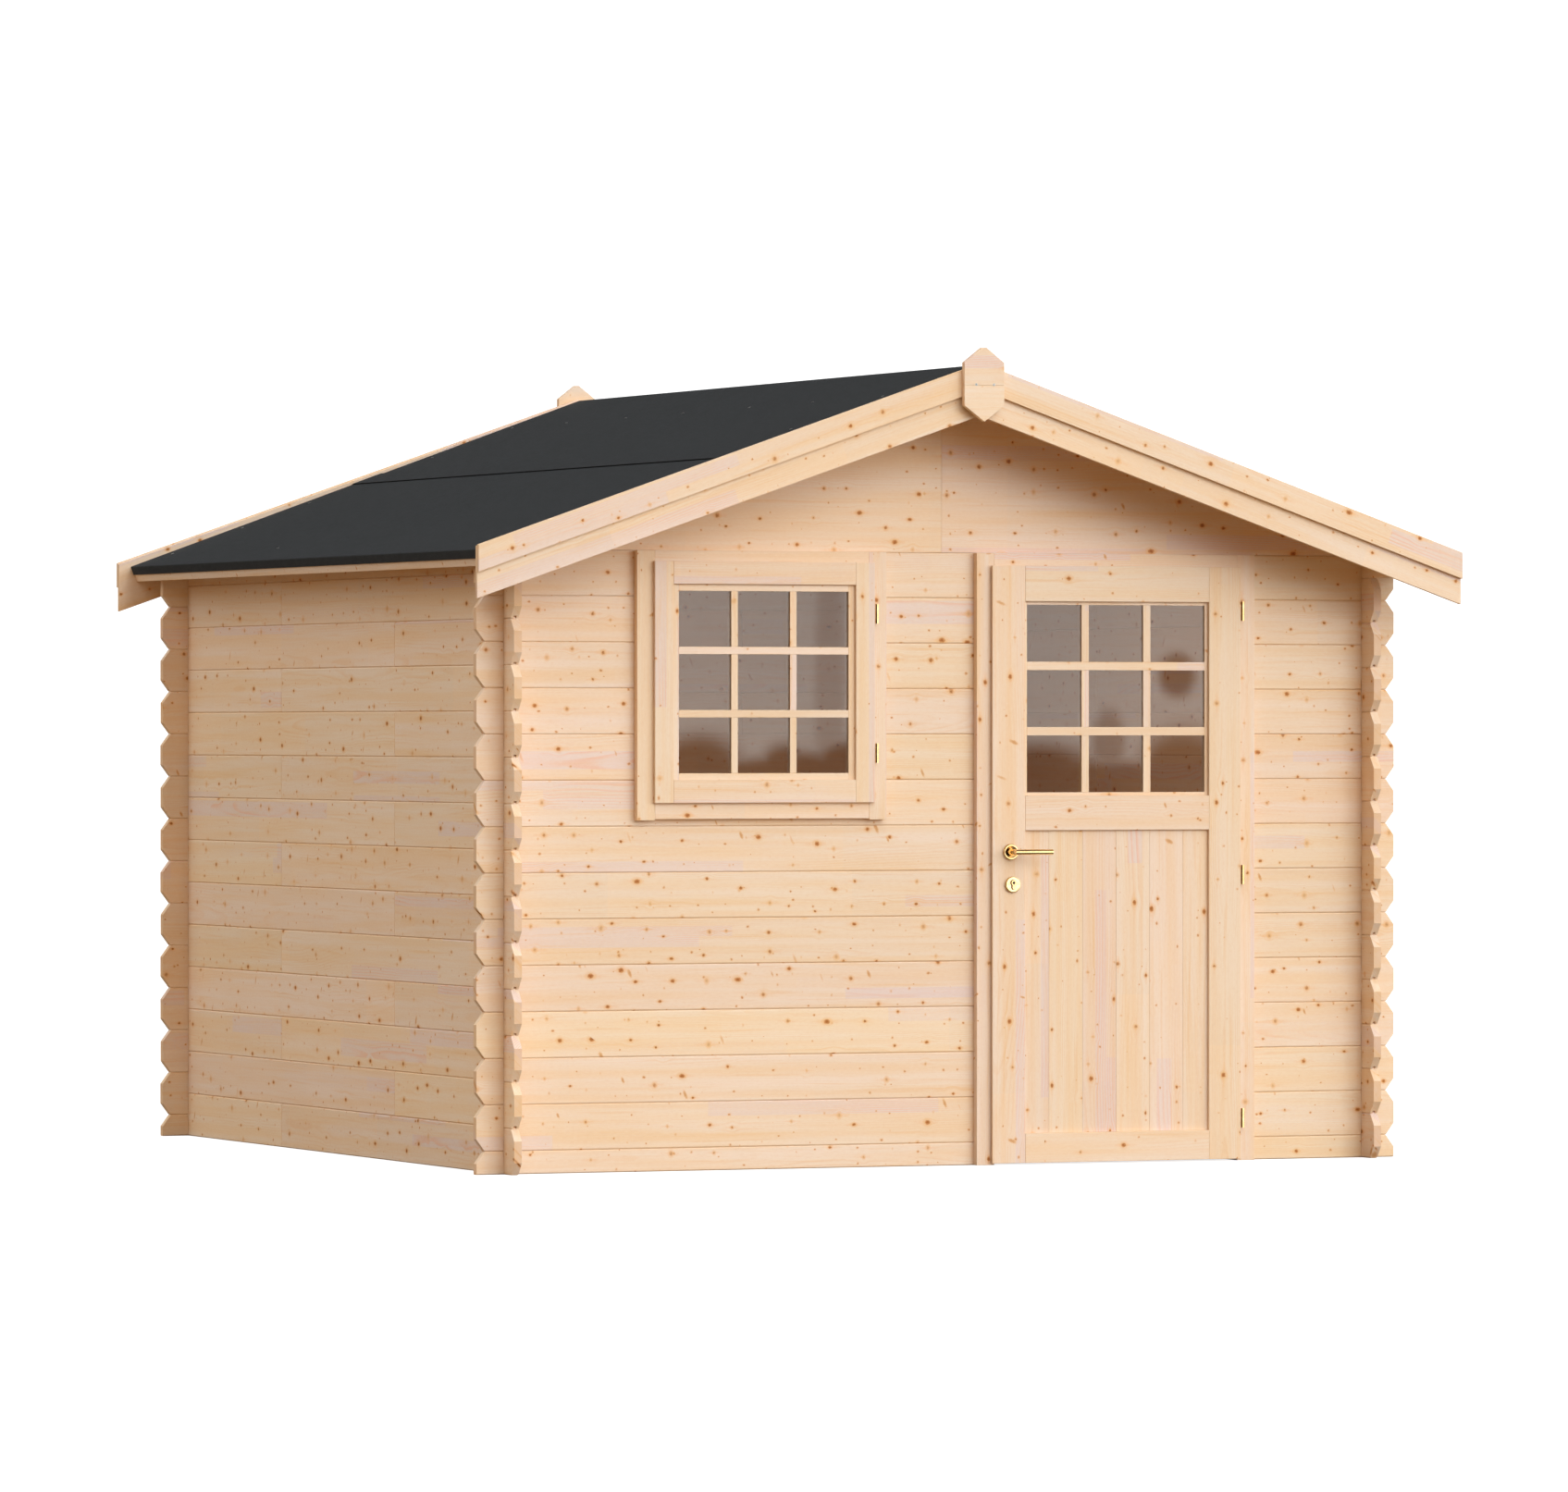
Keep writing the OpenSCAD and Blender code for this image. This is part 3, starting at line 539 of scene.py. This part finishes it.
def dress(node, seed, mat=None, grain=None, body="root", slot="spruce_logs", bevel=0.0008, butt=0.0):
    """A CAD node's own solids with eased edges and a grain of their own."""
    b = Boards(node + "_wood", seed)
    for bm in islands_of(node):
        size = [max(v.co[i] for v in bm.verts) - min(v.co[i] for v in bm.verts) for i in range(3)]
        if grain is None:
            gr = Vector((0, 0, 0))
            gr[size.index(max(size))] = 1
            up = None
        else:
            gr, up = grain(bm)
        b.add_bm(bm, gr, up, bevel, butt=butt)
    return b.finish(mat or SPRUCE, body, node, slot=slot)


for i, n in enumerate(["left_wall", "right_wall", "back_wall", "front_wall_under_window",
                       "front_window_sill_log", "front_wall_left_of_window",
                       "front_wall_right_of_door", "left_wall_plate", "right_wall_plate",
                       "ridge_purlin", "left_purlin", "right_purlin"]):
    dress(n, 100 + i, butt=0.0036 if n.endswith("_wall") else 0.0)
along_x = lambda bm: (Vector((1, 0, 0)), Vector((0, 0, 1)))
dress("front_wall_between_window_and_door", 131, grain=along_x)
for i, n in enumerate(["front_gable_left", "front_gable_right", "back_gable_left", "back_gable_right"]):
    dress(n, 140 + i, grain=along_x)


def barge_grain(bm):
    """Bargeboards run with the slope of the side that they are on."""
    x = sum(v.co.x for v in bm.verts) / len(bm.verts)
    s = 0.3447 if x < 0 else -0.3447
    return Vector((1, 0, s)), Vector((-s, 0, 1))


for i, n in enumerate(["front_outer_bargeboards", "front_inner_bargeboards",
                       "back_outer_bargeboards", "back_inner_bargeboards"]):
    dress(n, 160 + i, TRIM, grain=barge_grain, slot="spruce_trim", bevel=0.0012)
for i, n in enumerate(["left_eave_batten", "right_eave_batten", "window_frame", "door_frame"]):
    dress(n, 172 + i, TRIM, slot="spruce_trim", bevel=0.0012)

# ---- finials: two boards glued edge to edge, their grain level
for i, n in enumerate(["front_finial", "back_finial"]):
    lo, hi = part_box(n)
    b = Boards(n + "_wood", 170 + i)
    out = 0.0004                     # the screw heads stand this much proud
    ya, yb = (lo.y + out, hi.y) if lo.y < 0 else (lo.y, hi.y - out)
    seam = 2.3100
    for ring in ([(0, lo.z), (hi.x, 2.250), (hi.x, seam - 0.0002), (lo.x, seam - 0.0002), (lo.x, 2.250)],
                 [(lo.x, seam + 0.0002), (hi.x, seam + 0.0002), (hi.x, 2.377), (0.007, hi.z), (-0.007, hi.z),
                  (lo.x, 2.377)]):
        b.prism(ring, ya, yb, 1, (1, 0, 0), up=(0, 0, 1), bevel=0.0007)
    b.finish(TRIM, "root", n, slot="spruce_trim")

# ---- roof boards, one by one, tongued, from the ridge to the eave
for side, node in ((1, "roof_boards_left"), (-1, "roof_boards_right")):
    me = NODES[node].data
    lo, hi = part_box(node)
    cs = sorted({(round(v.co.x, 5), round(v.co.z, 5)) for v in me.vertices})
    cx = sum(c[0] for c in cs) / len(cs)
    cz = sum(c[1] for c in cs) / len(cs)
    ring = sorted(cs, key=lambda c: math.atan2(c[1] - cz, c[0] - cx))
    slope = Vector((1, 0, side * math.tan(math.radians(19.7))))
    b = Boards(node + "_wood", 200 + side)
    count = 33
    pitch = (hi.y - lo.y) / count
    for k in range(count):
        y0 = lo.y + k * pitch
        b.prism(ring, y0 + 0.0003, y0 + pitch - 0.0003, 1, slope, up=(0, 1, 0), bevel=0.0016)
    b.finish(SAWN, "root", node, slot="roof_boards")


# ---- window sash: stiles, rails, beads and bars
def glazing(b, x0, x1, z0, z1, bead, bar_v, bar_h, ya, yb, cols=3, rws=3):
    """Beads round the opening and crossing bars, all between ya and yb."""
    e = 0.00015
    b.box((x0, ya, z0), (x0 + bead, yb, z1), (0, 0, 1))
    b.box((x1 - bead, ya, z0), (x1, yb, z1), (0, 0, 1))
    b.box((x0 + bead + e, ya, z0), (x1 - bead - e, yb, z0 + bead), (1, 0, 0))
    b.box((x0 + bead + e, ya, z1 - bead), (x1 - bead - e, yb, z1), (1, 0, 0))
    pw = (x1 - x0 - 2 * bead - (cols - 1) * bar_v) / cols
    ph = (z1 - z0 - 2 * bead - (rws - 1) * bar_h) / rws
    zs = [z0 + bead + ph * (j + 1) + bar_h * j for j in range(rws - 1)]
    for z in zs:
        b.box((x0 + bead + e, ya, z), (x1 - bead - e, yb, z + bar_h), (1, 0, 0))
    for i in range(cols - 1):
        x = x0 + bead + pw * (i + 1) + bar_v * i
        za = z0 + bead + e
        for z in zs + [z1 - bead]:
            b.box((x, ya + 0.0004, za), (x + bar_v, yb, z - e), (0, 0, 1))
            za = z + bar_h + e


lo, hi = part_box("window_sash")
glo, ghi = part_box("window_glass")
fx, gx = lo.x, hi.x
ox0, ox1 = glo.x - 0.0002, ghi.x + 0.0002
oz0, oz1 = glo.z - 0.0002, ghi.z + 0.0002
flo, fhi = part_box("window_frame")
win_l, win_r = flo.x + 0.056, fhi.x - 0.056
win_b, win_t = lo.z + 0.006, hi.z - 0.006
yf, yl, yr = lo.y, lo.y + 0.0138, hi.y
b = Boards("window_sash_wood", 300)
rear_l, rear_r, rear_b, rear_t = win_l + 0.003, win_r - 0.003, win_b + 0.003, win_t - 0.003
b.prism([(lo.x, yf), (ox0, yf), (ox0, yr), (rear_l, yr), (rear_l, yl), (lo.x, yl)],
        lo.z, hi.z, 2, (0, 0, 1), bevel=0.0015)
b.prism([(ox1, yf), (hi.x, yf), (hi.x, yl), (rear_r, yl), (rear_r, yr), (ox1, yr)],
        lo.z, hi.z, 2, (0, 0, 1), bevel=0.0015)
e = 0.0002
b.prism([(yf, oz1), (yf, hi.z), (yl, hi.z), (yl, rear_t), (yr, rear_t), (yr, oz1)],
        ox0 + e, ox1 - e, 0, (1, 0, 0), bevel=0.0015)
b.prism([(yf, lo.z), (yf, oz0), (yr, oz0), (yr, rear_b), (yl, rear_b), (yl, lo.z)],
        ox0 + e, ox1 - e, 0, (1, 0, 0), bevel=0.0015)
glazing(b, ox0 + e, ox1 - e, oz0 + e, oz1 - e, 0.020, 0.021, 0.022, glo.y - 0.006, glo.y - 0.0001)
glazing(b, ox0 + e, ox1 - e, oz0 + e, oz1 - e, 0.020, 0.021, 0.022, ghi.y + 0.0001, yr)
b.finish(TRIM, "root", "window_sash", slot="spruce_trim")

# ---- door leaf
lo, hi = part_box("door_leaf")
glo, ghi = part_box("door_glass")
plo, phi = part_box("door_panel")
ix0, ix1 = glo.x - 0.0002, ghi.x + 0.0002
gz0, gz1 = glo.z - 0.0002, ghi.z + 0.0002
pz0, pz1 = plo.z - 0.0002, phi.z + 0.0002
yf, yl, yr = lo.y, lo.y + 0.009, hi.y
rl, rr_, rt = lo.x + 0.018, hi.x - 0.012, hi.z - 0.016
b = Boards("door_leaf_wood", 307)
b.prism([(lo.x, yf), (ix0, yf), (ix0, yr), (rl, yr), (rl, yl), (lo.x, yl)],
        lo.z, hi.z, 2, (0, 0, 1), bevel=0.0018)
b.prism([(ix1, yf), (hi.x, yf), (hi.x, yl), (rr_, yl), (rr_, yr), (ix1, yr)],
        lo.z, hi.z, 2, (0, 0, 1), bevel=0.0018)
b.prism([(yf, gz1), (yf, hi.z), (yl, hi.z), (yl, rt), (yr, rt), (yr, gz1)],
        ix0 + e, ix1 - e, 0, (1, 0, 0), bevel=0.0018)
b.box((ix0 + e, yf, pz1), (ix1 - e, yr, gz0), (1, 0, 0), bevel=0.0018)
b.box((ix0 + e, yf, lo.z), (ix1 - e, yr, pz0), (1, 0, 0), bevel=0.0018)
glazing(b, ix0 + e, ix1 - e, gz0 + e, gz1 - e, 0.010, 0.024, 0.025, glo.y - 0.005, glo.y - 0.0001)
glazing(b, ix0 + e, ix1 - e, gz0 + e, gz1 - e, 0.010, 0.024, 0.025, ghi.y + 0.0001, yr)
b.finish(TRIM, "door", "door_leaf", slot="spruce_trim")

# ---- panel of upright tongued boards
b = Boards("door_panel_boards", 411)
xs = [plo.x]
first = (phi.x - plo.x - 4 * 0.1105) / 2
for k in range(5):
    xs.append(plo.x + first + k * 0.1105)
xs.append(phi.x)
for x0, x1 in zip(xs, xs[1:]):
    b.box((x0 + 0.0002, plo.y, plo.z), (x1 - 0.0002, phi.y, phi.z), (0, 0, 1), bevel=0.0009)
b.finish(TRIM, "door", "door_panel", slot="spruce_trim")

# ---------------------------------------------------------------- fittings
class Metal:
    """Collects turned and swept metal pieces in one mesh."""

    def __init__(self, name):
        self.name, self.verts, self.faces, self.mats = name, [], [], []

    def rings(self, loops, closed=False, cap_a=True, cap_b=True, mat=0):
        """Joins loops of equal length into a skin."""
        base, n = len(self.verts), len(loops[0])
        for lp in loops:
            self.verts.extend(tuple(p) for p in lp)
        count = len(loops)
        for i in range(count if closed else count - 1):
            for j in range(n):
                p, q = base + i * n, base + (i + 1) % count * n
                self.faces.append((p + j, p + (j + 1) % n, q + (j + 1) % n, q + j))
                self.mats.append(mat)
        if not closed:
            if cap_a:
                self.faces.append(tuple(base + j for j in range(n))[::-1])
                self.mats.append(mat)
            if cap_b:
                self.faces.append(tuple(base + (count - 1) * n + j for j in range(n)))
                self.mats.append(mat)

    def lathe(self, centre, axis, profile, n=56, closed=False, mat=0):
        """profile is (radius, distance along axis) pairs."""
        z = Vector(axis).normalized()
        x = z.orthogonal().normalized()
        y = z.cross(x)
        c = Vector(centre)
        loops = []
        for r, t in profile:
            loops.append([c + z * t + x * (r * math.cos(2 * math.pi * j / n))
                          + y * (r * math.sin(2 * math.pi * j / n)) for j in range(n)])
        self.rings(loops, closed=closed, mat=mat)

    def finish(self, mats, body, *nodes, slot=None, angle=32):
        me = bpy.data.meshes.new(self.name)
        me.from_pydata(self.verts, [], self.faces)
        for p, k in zip(me.polygons, self.mats):
            p.material_index = k
        for m in mats:
            me.materials.append(m)
        bm = bmesh.new()
        bm.from_mesh(me)
        bmesh.ops.recalc_face_normals(bm, faces=bm.faces)
        for f in bm.faces:
            f.smooth = True
        for e in bm.edges:
            if len(e.link_faces) == 2 and e.calc_face_angle(0) > math.radians(angle):
                e.smooth = False
        bm.to_mesh(me)
        bm.free()
        o = bpy.data.objects.new(self.name, me)
        scene.collection.objects.link(o)
        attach(o, body)
        if nodes:
            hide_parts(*nodes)
        return o


def plan(x, y, z=0.0):
    """A place given in millimetres from the front left corner of the walls."""
    return Vector(((x - 1405) * MM, (y - 1350) * MM, z * MM))


def rose(metal, x, z, face, out, bore):
    """A round rose lying on a leaf face; out is -1 outside and 1 inside."""
    edge = [(bore, 0.2), (24.0, 0.2), (24.0, 5.6), (23.7, 6.5), (23.0, 7.3), (22.0, 7.8), (20.8, 8.0),
            (18.4, 8.0), (17.6, 7.8), (16.8, 7.2), (13.0, 5.8), (bore, 4.6)]
    metal.lathe(plan(x, face, z), (0, out, 0), [(r * MM, t * MM) for r, t in edge], n=72, closed=True)


def key_plate(metal, x, z, face, out):
    """A round plate with a profile cylinder standing out of it."""
    n = 96
    c = plan(x, face, z)
    e = c + Vector((0, 0, 0.0055))
    slot_r, neck, low = 0.0082, 0.0050, -0.0205

    def hole(a, grow=0.0):
        """Distance to the outline of the profile cylinder along an angle."""
        r = slot_r + grow
        dx, dz = math.cos(a), math.sin(a)
        if dz < 0:
            t = 1e9 if abs(dx) < 1e-9 else (neck + grow) / abs(dx)
            if t * dz > low + 0.005:
                return max(r, t)
            # round foot of the slot
            cz = low + 0.005
            k = dz * cz
            disc = k * k - (cz * cz - (neck + grow) ** 2)
            return max(r, k + math.sqrt(max(disc, 0.0))) if disc >= 0 else r
        return r

    def loop(kind, t):
        pts = []
        for j in range(n):
            a = 2 * math.pi * (j + 0.5) / n
            d = Vector((math.cos(a), 0, math.sin(a)))
            if kind < 0:
                r = hole(a, kind + 1.0)
                p = e + d * r
            else:
                # ray from the hole's centre to the rim of radius kind
                o = e - c
                k = o.dot(d)
                r = -k + math.sqrt(k * k - o.dot(o) + kind * kind)
                p = e + d * r
            pts.append(p + Vector((0, out * t, 0)))
        return pts

    rim = [(0.0240, 0.0002), (0.0240, 0.0056), (0.0237, 0.0065), (0.0230, 0.0073), (0.0220, 0.0078), (0.0208, 0.0080)]
    metal.rings([loop(r, t) for r, t in rim] + [loop(-1.0, 0.0080), loop(-1.0, 0.0126),
                loop(-1.0003, 0.0129), loop(-1.0007, 0.0130)], cap_a=True, cap_b=True)
    # near-black ring round the foot of the cylinder: painted shade for the cylinder's shaded side where it meets the
    # plate
    metal.rings([loop(-0.9989, 0.0078), loop(-0.9989, 0.00806)], cap_a=True, cap_b=True, mat=1)
    # key way: a near-black disc and slot, painted shade for the depth of the key hole
    metal.lathe(e + Vector((0, out * 0.0130, 0)), (0, out, 0), [(0.0043, -0.0002), (0.0043, 0.00005)], n=32, mat=1)
    w, h0, h1, t = 0.0010, -0.0072, -0.0030, 0.01306
    q = [(-w, h1), (w, h1), (w, h0), (-w, h0)]
    metal.rings([[e + Vector((dx, out * 0.0128, dz)) for dx, dz in q],
                 [e + Vector((dx, out * t, dz)) for dx, dz in q]], mat=1)


def lever(metal, x, z, start, far, end, r=8.3):
    """Neck out of the rose and a bar, joined by a mitre."""
    n = 56
    out = 1 if far > start else -1
    loops = []
    circ = [(math.cos(2 * math.pi * j / n), math.sin(2 * math.pi * j / n)) for j in range(n)]
    for y in (start, far - out * 30):
        loops.append([plan(x + r * cx, y, z + r * cz) for cx, cz in circ])
    # the mitre lies in the plane where the two axes meet
    loops.append([plan(x + r * cx, far - out * (r * cx) * -1.0 * -1.0, z + r * cz) for cx, cz in circ])
    for xe, k in ((x + 30, 1.0), (end - 1.6, 1.0), (end - 0.5, 0.93), (end, 0.80)):
        loops.append([plan(xe, far - out * (r * k * cx), z + r * k * cz) for cx, cz in circ])
    metal.rings(loops)


m = Metal("door_roses_brass")
rose(m, 1602, 932, -38, -1, 8.4)
rose(m, 1602, 932, -2, 1, 8.4)
key_plate(m, 1608, 835, -38, -1)
key_plate(m, 1608, 835, -2, 1)
m.finish([BRASS, PAINTED_SHADE], "door", "door_roses", slot="brass_fittings")

m = Metal("lever_handles_brass")
lever(m, 1602, 932, -40, -91, 1717)
lever(m, 1602, 932, 0, 51, 1717)
m.rings([[plan(1602 + dx, y, 932 + dz) for dx, dz in ((-4, -4), (4, -4), (4, 4), (-4, 4))] for y in (-41, 1)])
m.finish([BRASS], "handle", "lever_handles", slot="brass_fittings")


def solid_hinge(node, name, body):
    """The hinge's CAD shape with smooth shaded barrels."""
    me = NODES[node].data.copy()
    bm = bmesh.new()
    bm.from_mesh(me)
    bmesh.ops.remove_doubles(bm, verts=bm.verts, dist=2e-6)
    for f in bm.faces:
        f.smooth = True
    for e in bm.edges:
        if len(e.link_faces) == 2 and e.calc_face_angle(0) > math.radians(35):
            e.smooth = False
    bm.to_mesh(me)
    bm.free()
    me.name = name
    me.materials.clear()
    me.materials.append(BRASS)
    o = bpy.data.objects.new(name, me)
    scene.collection.objects.link(o)
    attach(o, body)
    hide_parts(node)


solid_hinge("window_hinges", "window_hinges_brass", "root")
solid_hinge("door_hinge_pins", "door_hinge_pins_brass", "root")
solid_hinge("door_hinge_knuckles", "door_hinge_knuckles_brass", "door")

# ---- clout nails along the laps and edges of the felt
from mathutils.bvhtree import BVHTree
felt = bmesh.new()
for n in ("felt_left_lower", "felt_right_lower", "felt_right_upper", "felt_ridge"):
    felt.from_mesh(NODES[n].data)
tree = BVHTree.FromBMesh(felt)
m = Metal("felt_nails")
spots = [(1145, y) for y in (2407, 1898, 1421, 886, 393, -134)]
spots += [(x, 2870) for x in (1138, 861, 439, 210, -27)] + [(-28, 1871), (869, -94)]
spots += [(x, -200) for x in (560, 250, -60)]
spots += [(2810 - x, y) for x, y in spots]
for x, y in spots:
    p = plan(x, y, 3000)
    hit, nrm, _, _ = tree.ray_cast(p, Vector((0, 0, -1)))
    if hit is not None:
        prof = [(0.0050, -0.0006), (0.0050, 0.0003), (0.0044, 0.0009), (0.0028, 0.0013), (0.0006, 0.0014)]
        m.lathe(hit, nrm, prof, n=18)
m.finish([ZINC], "root", slot="roof_felt")
felt.free()

# ---- a near-black strip along each lap of the felt: painted shade for the shadow under the lap's edge
m = Metal("felt_lap_painted_shade")
for n, side in (("felt_ridge", -1), ("felt_ridge", 1), ("felt_right_upper", 1)):
    vs = [v.co for v in NODES[n].data.vertices]
    edge = max(v.x * side for v in vs)
    rim = [v for v in vs if v.x * side > edge - 0.0008]
    top, low = max(v.z for v in rim), min(v.z for v in rim)
    lo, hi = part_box(n)
    x = side * edge
    fall = math.tan(math.radians(19.7))
    pts = [(x - side * 0.0006, top - 0.0004), (x + side * 0.0016, top - 0.0012), (x + side * 0.0036, low - 0.0036 * fall + 0.0003),
           (x + side * 0.0036, low - 0.0036 * fall - 0.0006), (x - side * 0.0006, low - 0.0004)]
    m.rings([[Vector((px, y, pz)) for px, pz in pts] for y in (lo.y + 0.0005, hi.y - 0.0005)], cap_a=True, cap_b=True)
m.finish([PAINTED_SHADE], "root", slot="roof_felt")

# ---- screws in the two finials
m = Metal("finial_screws")
for y, out in ((-290, -1), (2990, 1)):
    for x in (1379, 1436):
        c = plan(x, y, 2312)
        c = c + Vector((0, -out * 0.0004, 0))
        m.lathe(c, (0, out, 0), [(0.0041, -0.0012), (0.0041, 0.00020), (0.0036, 0.00034), (0.0012, 0.00034)], n=32)
        # near-black cross in each head: painted shade for the recess of the screw slot
        for q in ([(-0.0019, -0.0004), (0.0019, -0.0004), (0.0019, 0.0004), (-0.0019, 0.0004)],
                  [(-0.0004, -0.0019), (0.0004, -0.0019), (0.0004, 0.0019), (-0.0004, 0.0019)]):
            m.rings([[c + Vector((dx, out * t, dz)) for dx, dz in q] for t in (0.0, 0.00038)], mat=1)
m.finish([ZINC, PAINTED_SHADE], "root", slot="brass_fittings")

# ---------------------------------------------------------------- CAD nodes kept
for n in ("felt_left_lower", "felt_right_lower", "felt_right_upper", "felt_ridge"):
    NODES[n].data.materials.clear()
    NODES[n].data.materials.append(FELT)
for n in ("window_glass", "door_glass"):
    NODES[n].data.materials.clear()
    NODES[n].data.materials.append(GLASS)

# ---------------------------------------------------------------- stage
bpy.ops.mesh.primitive_plane_add(size=120, location=(0, 0, -0.0005))
floor = bpy.context.object
floor.name = "floor"
fm, g, bsdf = material("floor_pale")
lp = g.new("ShaderNodeLightPath")
seen = lp.outputs["Is Camera Ray"]
g.put(bsdf.inputs["Base Color"], g.mix(seen, (0.27, 0.19, 0.11, 1), (0.50, 0.50, 0.50, 1)))
g.put(bsdf.inputs["Emission Color"], (1.0, 1.0, 1.0, 1))
g.put(bsdf.inputs["Emission Strength"], g.math("MULTIPLY", seen, 0.78))
bsdf.inputs["Roughness"].default_value = 1.0
bsdf.inputs["Specular IOR Level"].default_value = 0.0
floor.data.materials.append(fm)
floor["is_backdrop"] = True
floor.visible_glossy = False

world = bpy.data.worlds.new("studio")
scene.world = world
world.use_nodes = True
g = Graph(world.node_tree)
bg = world.node_tree.nodes["Background"]
lp = g.new("ShaderNodeLightPath")
# what the metal and the panes mirror: a bright room in front and to the right,
# brown on the left and far below, and a narrow band of dark ground with soft
# low shapes along the horizon
d = g.vmath("NORMALIZE", g.new("ShaderNodeTexCoord").outputs["Generated"])
px, py, pz = g.split(d)
lump = g.noise(g.xyz(g.math("MULTIPLY", px, 88.0), g.math("MULTIPLY", py, 88.0),
               g.math("MULTIPLY", pz, 170.0)), 1.0, 1.5, 0.5)
ground = g.step(g.math("MULTIPLY_ADD", lump, -0.0040, pz), -0.0042, -0.0064)
for cx, cz, rx, rz, k in ((0.3800, -0.0042, 0.0042, 0.0038, 1.0), (0.3885, -0.0044, 0.0024, 0.0029, 1.0),
                          (0.3945, -0.0040, 0.0030, 0.0028, 1.0), (0.3930, 0.0050, 0.0014, 0.0200, 0.35),
                          (0.4140, -0.0050, 0.0056, 0.0036, 1.0), (0.4208, -0.0012, 0.0016, 0.0034, 0.6),
                          (0.4280, -0.0044, 0.0042, 0.0046, 1.0), (0.4275, 0.0060, 0.0018, 0.0024, 0.95)):
    qx = g.math("MULTIPLY", g.math("SUBTRACT", px, cx), 1.0 / rx)
    qz = g.math("MULTIPLY", g.math("SUBTRACT", pz, cz), 1.0 / rz)
    q = g.math("SQRT", g.math("ADD", g.math("MULTIPLY", qx, qx), g.math("MULTIPLY", qz, qz)))
    ground = g.math("MAXIMUM", ground, g.step(q, 1.42, 0.58, 0.0, k))
ground = g.math("MINIMUM", ground, g.step(pz, -0.030, -0.016))
side = g.math("MULTIPLY_ADD", px, 0.62, g.math("MULTIPLY", py, -0.62))
room = g.step(side, 0.42, 0.60, 0.035, 1.0)
room = g.math("MULTIPLY", room, g.step(pz, -0.15, -0.38, 1.0, 0.08))
room = g.math("MULTIPLY", room, g.step(pz, 0.22, 0.62, 1.0, 0.22))
mirror = g.mix(ground, (1.08, 1.045, 0.99, 1), (0.20, 0.115, 0.082, 1))
mirror = g.mix(g.step(side, 0.40, 0.0), mirror, (0.62, 0.46, 0.33, 1))
strong = g.math("MULTIPLY", room, 2.2)
tone = (1.46, 0.78, 0.26, 1)
col = g.mix(lp.outputs["Is Glossy Ray"], tone, mirror)
power = g.fmix(lp.outputs["Is Glossy Ray"], 0.172, strong)
power = g.fmix(lp.outputs["Is Camera Ray"], power, 1.3)
g.put(bg.inputs["Color"], g.mix(lp.outputs["Is Camera Ray"], col, (1, 1, 1, 1)))
g.put(bg.inputs["Strength"], power)


def soft_sun(name, azimuth, height, width, strength, colour=(1.0, 1.0, 1.0)):
    """A broad lamp; azimuth 0 shines on the front wall, 90 on the right wall."""
    sun = bpy.data.lights.new(name, "SUN")
    sun.energy = strength * math.pi
    sun.angle = math.radians(width)
    sun.color = colour
    o = bpy.data.objects.new(name, sun)
    scene.collection.objects.link(o)
    a, e = math.radians(azimuth), math.radians(height)
    to = Vector((math.sin(a) * math.cos(e), -math.cos(a) * math.cos(e), math.sin(e)))
    o.rotation_mode = "QUATERNION"
    o.rotation_quaternion = to.to_track_quat("Z", "Y")
    o.visible_glossy = False
    o.visible_transmission = False
    return o


WARM = (0.898, 1.012, 1.088)
PLAIN = (0.912, 1.010, 1.095)
for i, (az, el, wide, w, tone) in enumerate((
        (35, 5, 24, 0.261, PLAIN), (60, 5, 24, 0.215, PLAIN), (10, 5, 24, 0.080, PLAIN),
        (10, 25, 24, 0.206, PLAIN), (35, 25, 24, 0.165, PLAIN), (60, 25, 24, 0.097, PLAIN),
        (-28, 25, 30, 0.113, PLAIN), (12, 45, 28, 0.149, PLAIN), (20, 72, 38, 0.187, PLAIN),
        (-40, 62, 30, 0.092, WARM), (-100, 20, 35, 0.208, WARM), (-100, 50, 35, 0.173, WARM),
        (-140, 35, 35, 0.178, WARM))):
    soft_sun("soft_%d" % i, az, el, wide, w * 0.87, tone)

lamp = bpy.data.lights.new("inside", "AREA")
lamp.shape = "DISK"
lamp.size = 1.2
lamp.energy = 5.8
lamp.color = (1.0, 0.80, 0.62)
inside = bpy.data.objects.new("inside", lamp)
scene.collection.objects.link(inside)
inside.location = (0.1, -0.2, 1.95)
inside.rotation_euler = (0, 0, 0)
inside.visible_camera = False
inside.visible_glossy = False
inside.visible_transmission = False

cam_data = bpy.data.cameras.new("camera")
cam = bpy.data.objects.new("camera", cam_data)
scene.collection.objects.link(cam)
cam.location = (-11.058, -26.348, 1.294)
cam.rotation_euler = (math.radians(90 - 0.097), 0.0, -0.3990)
cam_data.sensor_width = 36.0
cam_data.lens = 9938.03 / 1695 * 36.0
cam_data.clip_start, cam_data.clip_end = 1.0, 200.0
scene.camera = cam
scene.view_settings.view_transform = "Standard"
scene.view_settings.look = "None"
scene.view_settings.exposure = 0.0
scene.view_settings.gamma = 1.0

lo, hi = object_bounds()
